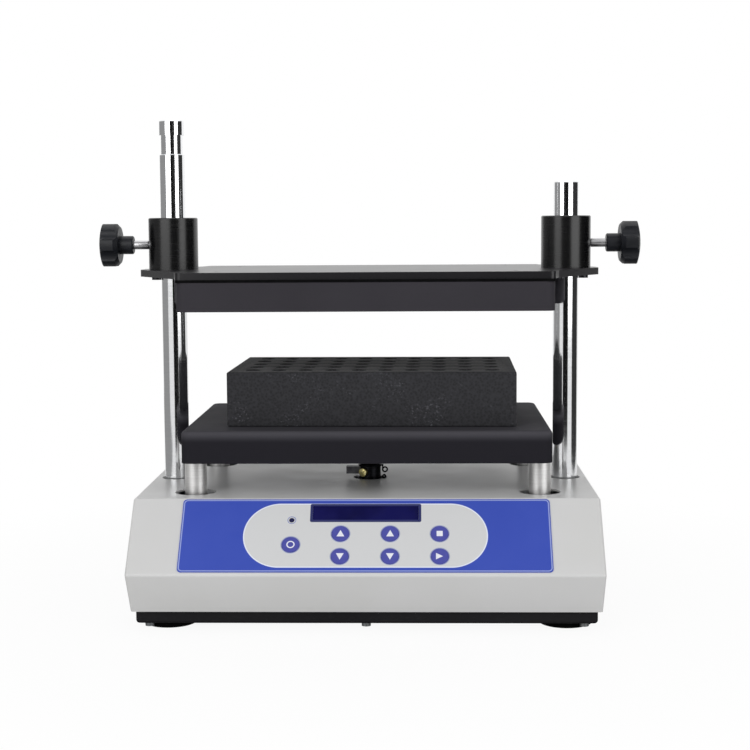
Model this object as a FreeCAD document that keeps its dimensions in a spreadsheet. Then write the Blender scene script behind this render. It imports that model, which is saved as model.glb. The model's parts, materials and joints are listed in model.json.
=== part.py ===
import FreeCAD, Part
import math
import operator
import os
import Sketcher

# Multi-tube vortex mixer.
# Millimetres, +Z up, control panel towards -Y, origin on the floor under the middle of the outline.
# The motor turns an eccentric hub, and the platform with its posts and clamp head circles
# around the drive axis without turning itself.

DOC = FreeCAD.newDocument("tube_mixer")
SHEET = DOC.addObject("Spreadsheet::Sheet", "Sizes")

DIMENSIONS = [
    # Base cover, folded from sheet steel
    ("cover_width", 390.0, "base cover, side to side"),
    ("cover_top", 108.2, "height of the flat top"),
    ("cover_bottom", 17.5, "height of the cover's lower edge"),
    ("fold_height", 53.5, "height of the fold under the control panel"),
    ("fold_reach", 140.6, "fold, forward of the origin"),
    ("top_reach", 91.0, "front edge of the flat top, forward of the origin"),
    ("lip_reach", 116.0, "lower front edge, forward of the origin"),
    ("rear_reach", 136.5, "rear face, behind the origin"),
    ("sheet", 1.6, "sheet thickness of cover and tray"),
    ("bend", 2.5, "outer bend radius of the cover"),
    ("hem_height", 10.0, "turned-in lower edge of the cover"),
    ("hub_room", 5.5, "room round the hub in the cover's top"),
    ("screw_sink", 1.4, "countersink of a cover screw"),
    ("vent_wide", 3.0, "slot of the rear vent"),
    ("vent_high", 36.0, "slot of the rear vent, height"),
    ("vent_pitch", 7.0, "slot to slot in the rear vent"),
    ("vent_start", 140.4, "outermost slot from the middle"),
    ("seat", 0.3, "gap where a piece rests beside another"),
    ("slip", 0.1, "radial room round a shank or a sliding bore"),
    ("fit", 0.03, "radial room in a running fit"),
    # Tray, feet and chassis
    ("tray_bottom", 6.7, "height of the tray's underside"),
    ("tray_wall", 20.0, "height of the tray's upturned walls"),
    ("tray_corner", 4.0, "corner radius of the tray"),
    ("chassis_thick", 5.0, "steel chassis plate"),
    ("foot_dia", 48.0, "rubber foot where it meets the tray"),
    ("foot_sole", 30.0, "flat sole of a foot"),
    ("foot_side", 24.5, "foot axis from the tray's side"),
    ("foot_front", 32.5, "front feet from the tray's front"),
    ("foot_rear", 35.0, "rear feet from the tray's rear"),
    ("foot_screw", 5.0, "screw through a foot"),
    ("foot_head", 10.0, "head of a foot screw"),
    ("foot_head_high", 2.6, "height of a foot screw's head"),
    ("foot_sink", 1.0, "foot screw's head above the sole"),
    ("head_room", 0.5, "room round a foot screw's head"),
    ("bolt_dia", 4.0, "chassis bolt"),
    ("bolt_head", 7.6, "head of a chassis bolt"),
    ("bolt_head_high", 3.0, "height of a chassis bolt's head"),
    ("bolt_socket_deep", 1.5, "hexagon socket of a chassis bolt"),
    ("bolt_side", 11.0, "outer chassis bolts from the tray's sides"),
    ("bolt_inset", 6.5, "chassis bolts from the tray's front and rear"),
    ("air_half", 22.0, "half depth of the chassis window under the motor"),
    ("air_room", 4.0, "chassis window beside the motor"),
    ("supply_width", 100.0, "power supply board, side to side"),
    ("supply_deep", 70.0, "power supply board, front to back"),
    ("supply_gap", 8.0, "power supply board beside the motor"),
    ("supply_lift", 4.8, "height of the supply's standoffs"),
    ("supply_stud", 6.0, "supply standoff"),
    ("supply_edge", 5.0, "supply standoffs from the board's edges"),
    ("coil_high", 22.0, "transformer of the supply, height"),
    ("can_dia", 16.0, "capacitor of the supply"),
    ("can_high", 24.0, "capacitor of the supply, height"),
    ("sink_thick", 6.0, "heat sink of the supply"),
    ("sink_high", 20.0, "heat sink of the supply, height"),
    # Drive
    ("orbit", 1.8, "offset of the eccentric pin"),
    ("drive_y", 20.2, "drive axis, behind the origin"),
    ("motor_dia", 72.0, "motor can"),
    ("motor_high", 40.0, "motor can, height"),
    ("motor_boss", 24.0, "centring boss on the motor"),
    ("bridge_top", 62.0, "height of the motor bridge"),
    ("bridge_thick", 4.0, "steel of the motor bridge"),
    ("bridge_width", 300.0, "motor bridge, side to side"),
    ("bridge_deep", 100.0, "motor bridge, front to back"),
    ("bridge_foot", 18.0, "outward flange of the bridge"),
    ("motor_tap_deep", 9.0, "tapped hole in the motor's face"),
    ("motor_step", 1.5, "relief round the motor can"),
    ("motor_cap", 7.5, "end cap of the motor"),
    ("shaft_dia", 8.0, "motor shaft"),
    ("hub_dia", 19.0, "eccentric hub"),
    ("hub_bottom", 65.0, "underside of the hub"),
    ("hub_top", 121.0, "shoulder of the hub"),
    ("pin_dia", 12.0, "eccentric pin"),
    ("pin_high", 18.0, "length of the eccentric pin"),
    ("hub_cap", 20.0, "solid top of the hub above the shaft"),
    ("weight_radius", 34.0, "counterweight"),
    ("weight_thick", 10.0, "counterweight thickness"),
    ("lug_long", 12.0, "trim lug, outwards from the hub"),
    ("lug_wide", 8.0, "trim lug, front to back"),
    ("lug_high", 6.4, "trim lug, height"),
    ("lug_lift", 3.6, "trim lug above the cover"),
    ("balance_lift", 5.6, "balance screw above the cover"),
    ("balance_dia", 4.0, "shank of the balance screw"),
    ("balance_head", 7.6, "head of the balance screw"),
    ("balance_long", 4.0, "head of the balance screw, length"),
    ("balance_turn", 30.0, "balance screw, turned from the front, degrees"),
    ("clip_wire", 1.4, "wire of a retaining clip"),
    ("clip_low", 0.6, "lower clip and its eye above the cover"),
    ("clip_high", 11.0, "upper clip above the cover"),
    ("clip_eye_high", 6.9, "upper clip's eye above the cover"),
    ("eye_small", 2.7, "eye of the lower clip, across the wire's middle"),
    ("eye_large", 4.2, "eye of the upper clip, across the wire's middle"),
    ("isolator_dia", 26.0, "rubber isolator"),
    ("isolator_x", 120.0, "isolators from the middle"),
    ("isolator_y", 35.0, "isolators from the drive axis"),
    # Platform
    ("carrier_bottom", 84.0, "underside of the carrier plate"),
    ("carrier_thick", 6.0, "carrier plate"),
    ("carrier_side", 12.8, "carrier plate beyond the posts"),
    ("carrier_end", 10.0, "carrier plate beyond the stands"),
    ("window_gap", 28.0, "bar between the carrier's front and rear windows"),
    ("platform_top", 163.6, "height of the platform"),
    ("platform_rim", 27.4, "folded rim of the platform"),
    ("platform_width", 312.0, "platform, side to side"),
    ("platform_deep", 213.0, "platform, front to back"),
    ("platform_sheet", 2.0, "sheet of platform and pressure tray"),
    ("platform_corner", 8.0, "corner radius of platform and pressure tray"),
    ("platform_bend", 3.5, "bend radius of platform and pressure tray"),
    ("support_thick", 4.0, "support plate under the platform"),
    ("bearing_outer", 28.0, "ball bearing, outside"),
    ("bearing_wide", 8.0, "ball bearing, width"),
    ("housing_dia", 40.0, "bearing housing"),
    ("housing_flange", 64.0, "flange of the bearing housing"),
    ("housing_bottom", 124.0, "underside of the bearing housing"),
    ("stand_dia", 19.0, "platform stand"),
    ("stand_side", 9.0, "stands from the platform's sides"),
    ("stand_end", 27.5, "stands from the platform's front and rear"),
    ("stand_tap", 16.0, "tapped hole in a stand's end"),
    ("stand_bevel", 0.8, "bevel of a stand's end"),
    ("pillar_dia", 14.0, "pillar under the platform tray"),
    ("stand_hole", 35.2, "cover hole round a stand"),
    ("post_dia", 22.0, "clamp post"),
    ("post_x", 175.2, "posts from the middle"),
    ("post_hole", 27.0, "cover hole round a post"),
    ("post_spigot", 12.0, "threaded end of a post"),
    ("nut_across", 21.0, "post nut, across its corners"),
    ("nut_high", 7.0, "post nut, height"),
    ("spigot_proud", 2.0, "spigot below its nut"),
    ("left_post_top", 428.2, "height of the left post"),
    ("right_post_top", 372.2, "height of the right post"),
    ("groove_dia", 19.2, "groove of the left post"),
    ("groove_low", 398.5, "lower edge of the groove"),
    ("groove_high", 415.3, "upper edge of the groove"),
    ("rack_width", 247.0, "foam rack, side to side"),
    ("rack_deep", 156.0, "foam rack, front to back"),
    ("rack_high", 46.6, "foam rack, height"),
    ("rack_shift", 5.0, "foam rack, to the right"),
    ("rack_forward", 1.2, "foam rack, forward of the posts' line"),
    ("rack_turn", 1.0, "foam rack, turned on the platform, degrees"),
    ("well_dia", 12.5, "tube well"),
    ("well_deep", 38.0, "depth of a tube well"),
    ("well_pitch_x", 22.9, "tube wells, side to side"),
    ("well_pitch_y", 29.0, "tube wells, front to back"),
    # Clamp head
    ("plate_top", 296.4, "height of the top plate"),
    ("plate_thick", 6.0, "top plate"),
    ("plate_corner", 5.0, "corner radius of the top plate"),
    ("plate_half", 157.0, "half width of the plate's front edge"),
    ("plate_deep", 113.0, "plate's front edge from the posts' line"),
    ("ear_half", 203.0, "half width over the ears"),
    ("ear_end", 13.0, "half length of an ear's end"),
    ("shoulder_half", 161.5, "half width where an ear starts"),
    ("shoulder_deep", 88.0, "start of an ear from the posts' line"),
    ("collar_dia", 43.8, "post collar"),
    ("collar_high", 45.8, "height of a collar"),
    ("collar_screw", 5.0, "screw into a collar"),
    ("collar_screw_circle", 15.6, "collar screws from the post axis"),
    ("collar_screw_deep", 14.0, "tapped hole for a collar screw"),
    ("collar_head_dia", 8.5, "head of a collar screw"),
    ("collar_head_high", 3.4, "height of a collar screw's head"),
    ("pad_tray_width", 314.0, "pressure tray, side to side"),
    ("pad_tray_deep", 229.0, "pressure tray, front to back"),
    ("pad_tray_high", 26.5, "pressure tray, height"),
    ("pad_recess", 2.0, "foam pad above the tray's rim"),
    ("stud_dia", 6.0, "clamp stud"),
    ("stud_height", 21.8, "stud axis above the top plate"),
    ("stud_long", 34.6, "length of a clamp stud"),
    ("knob_reach", 35.6, "knob's inner end from the post axis"),
    ("knob_long", 30.0, "length of a knob"),
    ("knob_dia", 39.6, "lobed head of a knob"),
    ("knob_hub", 16.3, "hub of a knob"),
    ("knob_hub_long", 12.0, "length of a knob's hub"),
    ("knob_lobes", 6.0, "lobes of a knob"),
    ("knob_taper", 3.6, "bevel behind a knob's head"),
    ("knob_crown", 3.2, "rise of a knob's domed face"),
    ("scallop_dia", 14.8, "hollow between two lobes"),
    ("scallop_out", 4.4, "centre of a hollow beyond the lobes"),
    ("lobe_round", 1.2, "rounding of a lobe's edges"),
    # Control panel, in the plane of the slope
    ("overlay_width", 304.8, "membrane overlay, side to side"),
    ("overlay_high", 69.3, "membrane overlay, along the slope"),
    ("overlay_inset", 1.7, "overlay from the upper edge of the slope"),
    ("overlay_thick", 0.8, "membrane overlay"),
    ("window_width", 87.3, "display window"),
    ("window_high", 13.1, "display window, along the slope"),
    ("window_down", 15.0, "window's middle from the upper edge"),
    ("key_dia", 14.6, "key"),
    ("key_x", 61.0, "outer keys from the middle"),
    ("key_inner_x", 20.4, "arrow keys from the middle"),
    ("key_down", 35.1, "upper keys from the upper edge"),
    ("key_pitch", 21.3, "upper keys to lower keys"),
    ("key_single_down", 45.5, "left key from the upper edge"),
    ("key_proud", 0.5, "key above the overlay"),
    ("key_room", 0.2, "room round a key"),
    ("key_skirt", 1.1, "retaining rim of a key"),
    ("key_under", 1.2, "underside of the rim behind the sheet"),
    ("key_stem", 2.5, "stem of a key behind the sheet"),
    ("key_edge", 0.3, "bevel of a key"),
    ("lamp_down", 22.0, "indicator lamp from the upper edge"),
    ("lamp_dia", 4.2, "indicator lamp"),
    ("board_depth", 20.0, "control board behind the panel"),
    ("board_high", 40.0, "control board, along the slope"),
    ("board_below", 8.0, "board's middle below the upper keys"),
    ("board_stud", 5.0, "standoff of the control board"),
    ("board_edge", 5.0, "standoffs from the board's edges"),
    ("tact_wide", 6.0, "switch under a key"),
    ("chip_wide", 18.0, "chip on the control board"),
    ("chip_long", 12.0, "chip, along the slope"),
    ("chip_high", 4.0, "chip, height"),
    ("module_side", 5.0, "display module beyond the window's sides"),
    ("module_edge", 4.0, "display module beyond the window's long edges"),
    ("module_deep", 7.0, "display module, depth"),
    ("glass_inset", 2.0, "display glass inside the window"),
    ("window_ledge", 1.5, "sheet under the window's edge"),
    # Rear panel
    ("inlet_x", 118.0, "power inlet from the middle"),
    ("inlet_height", 64.0, "middle of inlet and switch"),
    ("inlet_width", 50.0, "inlet flange, side to side"),
    ("inlet_high", 31.0, "inlet flange, height"),
    ("inlet_body_deep", 24.0, "inlet behind the panel"),
    ("inlet_lap", 3.0, "inlet flange over the panel"),
    ("socket_deep", 17.0, "depth of the inlet's socket"),
    ("socket_wide", 24.0, "socket, side to side"),
    ("socket_high", 16.0, "socket, height"),
    ("socket_shift", 6.0, "socket left of the inlet's middle"),
    ("blade_long", 11.0, "contact blade"),
    ("blade_wide", 2.0, "contact blade, thickness"),
    ("blade_high", 4.0, "contact blade, height"),
    ("drawer_deep", 20.0, "depth of the fuse drawer's pocket"),
    ("drawer_left", 9.5, "fuse drawer's left side from the inlet's middle"),
    ("drawer_wide", 9.0, "fuse drawer, side to side"),
    ("drawer_high", 20.0, "fuse drawer, height"),
    ("flange_thick", 1.8, "flange of inlet and switch"),
    ("switch_x", 62.0, "switch from the middle"),
    ("switch_width", 15.0, "switch bezel, side to side"),
    ("switch_high", 21.0, "switch bezel, height"),
    ("switch_lap", 1.2, "switch flange over the panel"),
    ("switch_deep", 16.0, "switch behind the panel"),
    ("switch_wall", 2.2, "wall of the switch round its rocker"),
    ("switch_room", 12.0, "depth of the rocker's room"),
    ("rocker_gap", 0.3, "rocker beside its walls"),
    ("rocker_pin", 2.0, "pivot pin of the rocker"),
    ("pin_grip", 0.5, "pivot pin inside a wall"),
    ("pivot_out", 0.6, "rocker's pivot behind the rear face"),
]


class Size:
    """A length that keeps the sheet expression it comes from beside its value."""

    def __init__(self, text, value):
        self.text = text
        self.value = value

    def __add__(self, other):
        return joined(self, "+", other, operator.add)

    def __radd__(self, other):
        return joined(other, "+", self, operator.add)

    def __sub__(self, other):
        return joined(self, "-", other, operator.sub)

    def __rsub__(self, other):
        return joined(other, "-", self, operator.sub)

    def __mul__(self, other):
        return joined(self, "*", other, operator.mul)

    def __rmul__(self, other):
        return joined(other, "*", self, operator.mul)

    def __truediv__(self, other):
        return joined(self, "/", other, operator.truediv)

    def __neg__(self):
        return joined(0, "-", self, operator.sub)


def number(size):
    return size.value if isinstance(size, Size) else float(size)


def words(size):
    return size.text if isinstance(size, Size) else repr(float(size))


def joined(first, sign, second, work):
    text = "(" + words(first) + " " + sign + " " + words(second) + ")"
    return Size(text, work(number(first), number(second)))


def slope_angle(rise, run):
    """Angle of a slope in degrees."""
    text = "atan2(" + words(rise) + "; " + words(run) + ")"
    return Size(text, math.degrees(math.atan2(number(rise), number(run))))


class Sizes:
    """The driving dimensions by name."""


S = Sizes()
for row, (alias, value, note) in enumerate(DIMENSIONS, start=1):
    SHEET.set("A" + str(row), note)
    SHEET.set("B" + str(row), str(value))
    SHEET.setAlias("B" + str(row), alias)
    setattr(S, alias, Size("Sizes." + alias, value))
DOC.recompute()

X_AXIS = FreeCAD.Vector(1, 0, 0)
Y_AXIS = FreeCAD.Vector(0, 1, 0)
Z_AXIS = FreeCAD.Vector(0, 0, 1)
NODES = []


def bind(thing, name, size):
    """Set a property, by its sheet expression where it has one."""
    if isinstance(size, Size):
        thing.setExpression(name, size.text)
    else:
        setattr(thing, name, size)


def put(thing, x=0, y=0, z=0, axis=Z_AXIS, angle=0):
    """Place an object, turned about an axis and moved."""
    spot = FreeCAD.Vector(number(x), number(y), number(z))
    thing.Placement = FreeCAD.Placement(spot, FreeCAD.Rotation(axis, number(angle)))
    for letter, size in (("x", x), ("y", y), ("z", z)):
        if isinstance(size, Size):
            thing.setExpression(".Placement.Base." + letter, size.text)
    if isinstance(angle, Size):
        thing.setExpression(".Placement.Rotation.Angle", angle.text)
    return thing


def node(thing, label):
    """Name a finished sub-part; its label names its file."""
    thing.Label = label
    NODES.append(thing)
    return thing


# Part primitives

def cylinder(name, radius, height, x=0, y=0, z=0, axis=Z_AXIS, angle=0):
    solid = DOC.addObject("Part::Cylinder", name)
    bind(solid, "Radius", radius)
    bind(solid, "Height", height)
    return put(solid, x, y, z, axis, angle)


def block(name, wide, deep, high, x=0, y=0, z=0):
    """A box with x and y at its middle and z at its foot."""
    solid = DOC.addObject("Part::Box", name)
    bind(solid, "Length", wide)
    bind(solid, "Width", deep)
    bind(solid, "Height", high)
    return put(solid, x - wide / 2, y - deep / 2, z)


def cone(name, low, high, tall, x=0, y=0, z=0, axis=Z_AXIS, angle=0):
    solid = DOC.addObject("Part::Cone", name)
    bind(solid, "Radius1", low)
    bind(solid, "Radius2", high)
    bind(solid, "Height", tall)
    return put(solid, x, y, z, axis, angle)


def hexagon(name, across_corners, high, x=0, y=0, z=0):
    solid = DOC.addObject("Part::Prism", name)
    solid.Polygon = 6
    bind(solid, "Circumradius", across_corners / 2)
    bind(solid, "Height", high)
    return put(solid, x, y, z)


def fused(name, pieces):
    solid = DOC.addObject("Part::MultiFuse", name)
    solid.Shapes = pieces
    return solid


def cut(name, base, tool):
    solid = DOC.addObject("Part::Cut", name)
    solid.Base = base
    solid.Tool = tool
    return solid


def together(name, pieces):
    group = DOC.addObject("Part::Compound", name)
    group.Links = pieces
    return group


# PartDesign bodies

def body(name):
    return DOC.addObject("PartDesign::Body", name)


def sketch(owner, role, name, lift=0, slide_y=0, tilt=0):
    """An empty sketch on one of the body's own origin planes, lifted along its normal."""
    plane = [item for item in owner.Origin.OriginFeatures if item.Role == role][0]
    drawing = owner.newObject("Sketcher::SketchObject", name)
    drawing.AttachmentSupport = [(plane, "")]
    drawing.MapMode = "FlatFace"
    turn = FreeCAD.Rotation(X_AXIS, number(tilt))
    drawing.AttachmentOffset = FreeCAD.Placement(FreeCAD.Vector(0, number(slide_y), number(lift)), turn)
    if isinstance(lift, Size):
        drawing.setExpression(".AttachmentOffset.Base.z", lift.text)
    if isinstance(slide_y, Size):
        drawing.setExpression(".AttachmentOffset.Base.y", slide_y.text)
    if isinstance(tilt, Size):
        drawing.setExpression(".AttachmentOffset.Rotation.Angle", tilt.text)
    return drawing


def hold(drawing, kind, first, spot, second, size):
    """Add one driving constraint, bound to its size."""
    if second is None:
        index = drawing.addConstraint(Sketcher.Constraint(kind, first, number(size)))
    else:
        index = drawing.addConstraint(Sketcher.Constraint(kind, -1, 1, first, spot, number(size)))
    if isinstance(size, Size):
        drawing.setExpression("Constraints[" + str(index) + "]", size.text)


def outline(drawing, points):
    """A closed outline through points (x, y) or (x, y, radius, side).

    A radius makes the stretch after that point an arc, bulging left (side 1) or right (side -1).
    """
    first = drawing.GeometryCount
    count = len(points)
    for index, point in enumerate(points):
        following = points[(index + 1) % count]
        start = FreeCAD.Vector(number(point[0]), number(point[1]), 0)
        end = FreeCAD.Vector(number(following[0]), number(following[1]), 0)
        if len(point) == 2:
            drawing.addGeometry(Part.LineSegment(start, end), False)
        else:
            chord = end - start
            half = chord.Length / 2
            radius = number(point[2])
            rise = radius - math.sqrt(max(radius * radius - half * half, 0))
            left = FreeCAD.Vector(-chord.y, chord.x, 0).normalize()
            middle = (start + end) * 0.5 + left * rise * point[3]
            drawing.addGeometry(Part.Arc(start, middle, end), False)
    spots = []
    for index, point in enumerate(points):
        # An arc is stored counter-clockwise, so a left bulge starts at its second end.
        swapped = len(point) == 4 and point[3] == 1
        spots.append((2, 1) if swapped else (1, 2))
    for index, point in enumerate(points):
        here = first + index
        following = first + (index + 1) % count
        link = Sketcher.Constraint("Coincident", here, spots[index][1], following, spots[(index + 1) % count][0])
        drawing.addConstraint(link)
        hold(drawing, "DistanceX", here, spots[index][0], -1, point[0])
        hold(drawing, "DistanceY", here, spots[index][0], -1, point[1])
        if len(point) == 4:
            hold(drawing, "Radius", here, 0, None, point[2])
    return drawing


def rectangle(drawing, left, right, low, high):
    return outline(drawing, [(left, low), (right, low), (right, high), (left, high)])


def circle(drawing, x, y, radius):
    index = drawing.addGeometry(Part.Circle(FreeCAD.Vector(number(x), number(y), 0), Z_AXIS, number(radius)), False)
    hold(drawing, "DistanceX", index, 3, -1, x)
    hold(drawing, "DistanceY", index, 3, -1, y)
    hold(drawing, "Radius", index, 0, None, radius)
    return drawing


def pad(owner, drawing, length, back=False, middle=False):
    feature = owner.newObject("PartDesign::Pad", drawing.Name + "_pad")
    feature.Profile = drawing
    bind(feature, "Length", length)
    feature.Reversed = back
    if middle:
        feature.SideType = "Symmetric"
    owner.Tip = feature
    return feature


def pocket(owner, drawing, length, back=False, middle=False):
    feature = owner.newObject("PartDesign::Pocket", drawing.Name + "_pocket")
    feature.Profile = drawing
    bind(feature, "Length", length)
    feature.Reversed = back
    if middle:
        feature.SideType = "Symmetric"
    owner.Tip = feature
    return feature


def revolved(owner, drawing):
    """Turn a profile about the sketch's vertical axis."""
    feature = owner.newObject("PartDesign::Revolution", drawing.Name + "_turned")
    feature.Profile = drawing
    feature.ReferenceAxis = (drawing, ["V_Axis"])
    feature.Angle = 360
    owner.Tip = feature
    return feature


def edges_where(feature, test):
    """Names of the feature's edges that pass a test on the edge."""
    DOC.recompute()
    return ["Edge" + str(index + 1) for index, edge in enumerate(feature.Shape.Edges) if test(edge)]


def fillet(owner, feature, test, radius):
    rounded = owner.newObject("PartDesign::Fillet", feature.Name + "_round")
    rounded.Base = (feature, edges_where(feature, test))
    bind(rounded, "Radius", radius)
    owner.Tip = rounded
    return rounded


def chamfer(owner, feature, test, size):
    bevelled = owner.newObject("PartDesign::Chamfer", feature.Name + "_bevel")
    bevelled.Base = (feature, edges_where(feature, test))
    bind(bevelled, "Size", size)
    owner.Tip = bevelled
    return bevelled


def shelled(owner, feature, open_height, thickness):
    """Hollow a feature from its flat underside, walls inside the outline."""
    DOC.recompute()
    names = []
    for index, face in enumerate(feature.Shape.Faces):
        box = face.BoundBox
        if box.ZLength < 1e-6 and abs(box.ZMin - number(open_height)) < 1e-6:
            names.append("Face" + str(index + 1))
    shell = owner.newObject("PartDesign::Thickness", feature.Name + "_shell")
    shell.Base = (feature, names)
    bind(shell, "Value", thickness)
    shell.Reversed = True
    shell.Join = "Arc"
    owner.Tip = shell
    return shell


def ring_pattern(owner, feature, count):
    """Repeat a feature round the body's own vertical axis."""
    axis = [item for item in owner.Origin.OriginFeatures if item.Role == "Z_Axis"][0]
    pattern = owner.newObject("PartDesign::PolarPattern", feature.Name + "_ring")
    pattern.Originals = [feature]
    pattern.Axis = (axis, [""])
    pattern.Angle = 360
    bind(pattern, "Occurrences", count)
    owner.Tip = pattern
    return pattern


def row_pattern(owner, feature, role, count, spacing):
    """Repeat a feature in a straight row along one of the body's axes."""
    axis = [item for item in owner.Origin.OriginFeatures if item.Role == role][0]
    pattern = owner.newObject("PartDesign::LinearPattern", feature.Name + "_row")
    pattern.Originals = [feature]
    pattern.Direction = (axis, [""])
    bind(pattern, "Length", spacing * (count - 1))
    pattern.Occurrences = count
    owner.Tip = pattern
    return pattern


def box_edges(feature, bottom):
    """Tests for a shell's edges: on its outer box, and inside it, all above its open underside."""
    DOC.recompute()
    hull = feature.Shape.BoundBox
    sides = [("X", hull.XMin), ("X", hull.XMax), ("Y", hull.YMin), ("Y", hull.YMax), ("Z", hull.ZMax)]

    def above(edge):
        return edge.BoundBox.ZMax > number(bottom) + 1e-3

    def touches(edge):
        box = edge.BoundBox
        spans = {"X": (box.XMin, box.XMax), "Y": (box.YMin, box.YMax), "Z": (box.ZMin, box.ZMax)}
        return any(abs(spans[letter][0] - place) < 1e-4 and abs(spans[letter][1] - place) < 1e-4
                   for letter, place in sides)

    return {"inside": lambda edge: above(edge) and not touches(edge),
            "outside": lambda edge: above(edge) and touches(edge)}


def upright(edge):
    """True for a straight edge along Z."""
    box = edge.BoundBox
    return box.XLength < 1e-6 and box.YLength < 1e-6 and box.ZLength > 0.1


def level_at(height):
    """A test for edges that lie at one height."""
    def test(edge):
        box = edge.BoundBox
        return box.ZLength < 1e-6 and abs(box.ZMin - number(height)) < 1e-6
    return test


# Places that several pieces share

POST_Y = S.drive_y + S.orbit
STAND_CORNERS = [("front_left", -1, -1), ("front_right", 1, -1), ("rear_left", -1, 1), ("rear_right", 1, 1)]
PANEL_RISE = S.cover_top - S.fold_height
PANEL_RUN = S.fold_reach - S.top_reach
PANEL_TILT = slope_angle(PANEL_RISE, PANEL_RUN)
TRAY_HALF = S.cover_width / 2 - 2 * S.sheet - S.seat
TRAY_FRONT = -S.lip_reach + 2 * S.sheet + S.seat
TRAY_REAR = S.rear_reach - 2 * S.sheet - S.seat
TRAY_FLOOR = S.tray_bottom + S.sheet
CHASSIS_TOP = TRAY_FLOOR + S.chassis_thick
BRIDGE_UNDER = S.bridge_top - S.bridge_thick
CARRIER_TOP = S.carrier_bottom + S.carrier_thick
PLATFORM_UNDER = S.platform_top - S.platform_sheet
SUPPORT_LOW = S.platform_top - S.platform_rim
SUPPORT_TOP = SUPPORT_LOW + S.support_thick
PLATE_UNDER = S.plate_top - S.plate_thick
STUD_Z = S.plate_top + S.stud_height
STUD_FIT = S.slip / 2
FOOT_X = TRAY_HALF - S.foot_side
FOOT_ROWS = (TRAY_FRONT + S.foot_front, TRAY_REAR - S.foot_rear)
FOOT_SPOTS = [(side * FOOT_X, y) for side in (-1, 1) for y in FOOT_ROWS]
BOLT_X = TRAY_HALF - S.bolt_side
BOLT_ROWS = (TRAY_FRONT + S.bolt_inset, TRAY_REAR - S.bolt_inset)
BOLT_SPOTS = [(x, y) for x in (-BOLT_X, 0, BOLT_X) for y in BOLT_ROWS]
SIDE_SCREW_Z = S.cover_bottom + S.hem_height / 2
BRIDGE_SCREWS = [(side * (S.bridge_width / 2 + S.bridge_foot / 2), S.drive_y + way * S.bridge_deep / 3)
                 for side in (-1, 1) for way in (-1, 1)]
MOTOR_CIRCLE = 0.33 * S.motor_dia
MOTOR_SCREWS = [(side * MOTOR_CIRCLE * 0.7, S.drive_y + way * MOTOR_CIRCLE * 0.7)
                for side in (-1, 1) for way in (-1, 1)]
SUPPLY_X = S.motor_dia / 2 + S.supply_gap + S.supply_width / 2
SUPPLY_REACH_X = S.supply_width / 2 - S.supply_edge
SUPPLY_REACH_Y = S.supply_deep / 2 - S.supply_edge
SUPPLY_STUDS = [(SUPPLY_X + side * SUPPLY_REACH_X, S.drive_y + way * SUPPLY_REACH_Y)
                for side in (-1, 1) for way in (-1, 1)]
STAND_X = S.platform_width / 2 - S.stand_side
STAND_Y = S.platform_deep / 2 - S.stand_end
HOUSING_CIRCLE = (S.housing_dia + S.housing_flange) / 4
HOUSING_FLANGE_THICK = 1.25 * S.support_thick
HOUSING_REACH = HOUSING_CIRCLE * math.sqrt(0.5)
HOUSING_SCREWS = [(side * HOUSING_REACH, way * HOUSING_REACH) for side in (-1, 1) for way in (-1, 1)]
BALANCE_Z = S.cover_top + S.balance_lift
TRAY_SCREWS = [(side * 0.4 * S.pad_tray_width, way * 0.38 * S.pad_tray_deep)
               for side in (-1, 1) for way in (-1, 1)]
WELL_COLUMNS = 10
WELL_ROWS = 5
VENT_SLOTS = 14
TRAY_SLOTS = 8
BOARD_WIDTH = 2 * (S.key_x + 1.5 * S.key_dia)
BOARD_DOWN = S.key_down + S.board_below
BOARD_STUDS = [(side * (BOARD_WIDTH / 2 - S.board_edge), BOARD_DOWN + way * (S.board_high / 2 - S.board_edge))
               for side in (-1, 1) for way in (-1, 1)]
KEY_STEM_REACH = S.sheet + S.key_stem
KEY_TRAVEL_ROOM = S.key_proud + S.slip
SOCKET_X = S.inlet_x - S.socket_shift
SOCKET_HALF = S.socket_wide / 2
SOCKET_LOW = S.inlet_height - S.socket_high / 2
SOCKET_TOP = S.inlet_height + S.socket_high / 2
SOCKET_SHOULDER = S.socket_high / 4
DRAWER_LEFT = S.inlet_x + S.drawer_left
DRAWER_RIGHT = DRAWER_LEFT + S.drawer_wide
DRAWER_LOW = S.inlet_height - S.drawer_high / 2
DRAWER_TOP = S.inlet_height + S.drawer_high / 2
PIVOT_Y = S.rear_reach + S.pivot_out
KEYS = [
    ("select_key", -S.key_x, S.key_single_down),
    ("speed_up_key", -S.key_inner_x, S.key_down),
    ("speed_down_key", -S.key_inner_x, S.key_down + S.key_pitch),
    ("time_up_key", S.key_inner_x, S.key_down),
    ("time_down_key", S.key_inner_x, S.key_down + S.key_pitch),
    ("stop_key", S.key_x, S.key_down),
    ("start_key", S.key_x, S.key_down + S.key_pitch),
]


def on_panel(thing):
    """Lay a piece on the sloped panel: its origin in the middle of the slope's upper edge."""
    return put(thing, 0, -S.top_reach, S.cover_top, X_AXIS, PANEL_TILT)


def panel_sketch(owner, name, lift=0):
    """A sketch in the plane of the sloped panel, y up the slope from its upper edge."""
    drawing = sketch(owner, "XY_Plane", name)
    reach = S.top_reach
    drawing.AttachmentOffset = FreeCAD.Placement(
        FreeCAD.Vector(0, -number(reach), number(S.cover_top)), FreeCAD.Rotation(X_AXIS, number(PANEL_TILT)))
    drawing.setExpression(".AttachmentOffset.Base.y", (-reach).text)
    drawing.setExpression(".AttachmentOffset.Base.z", S.cover_top.text)
    drawing.setExpression(".AttachmentOffset.Rotation.Angle", PANEL_TILT.text)
    return drawing


# Base

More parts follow.
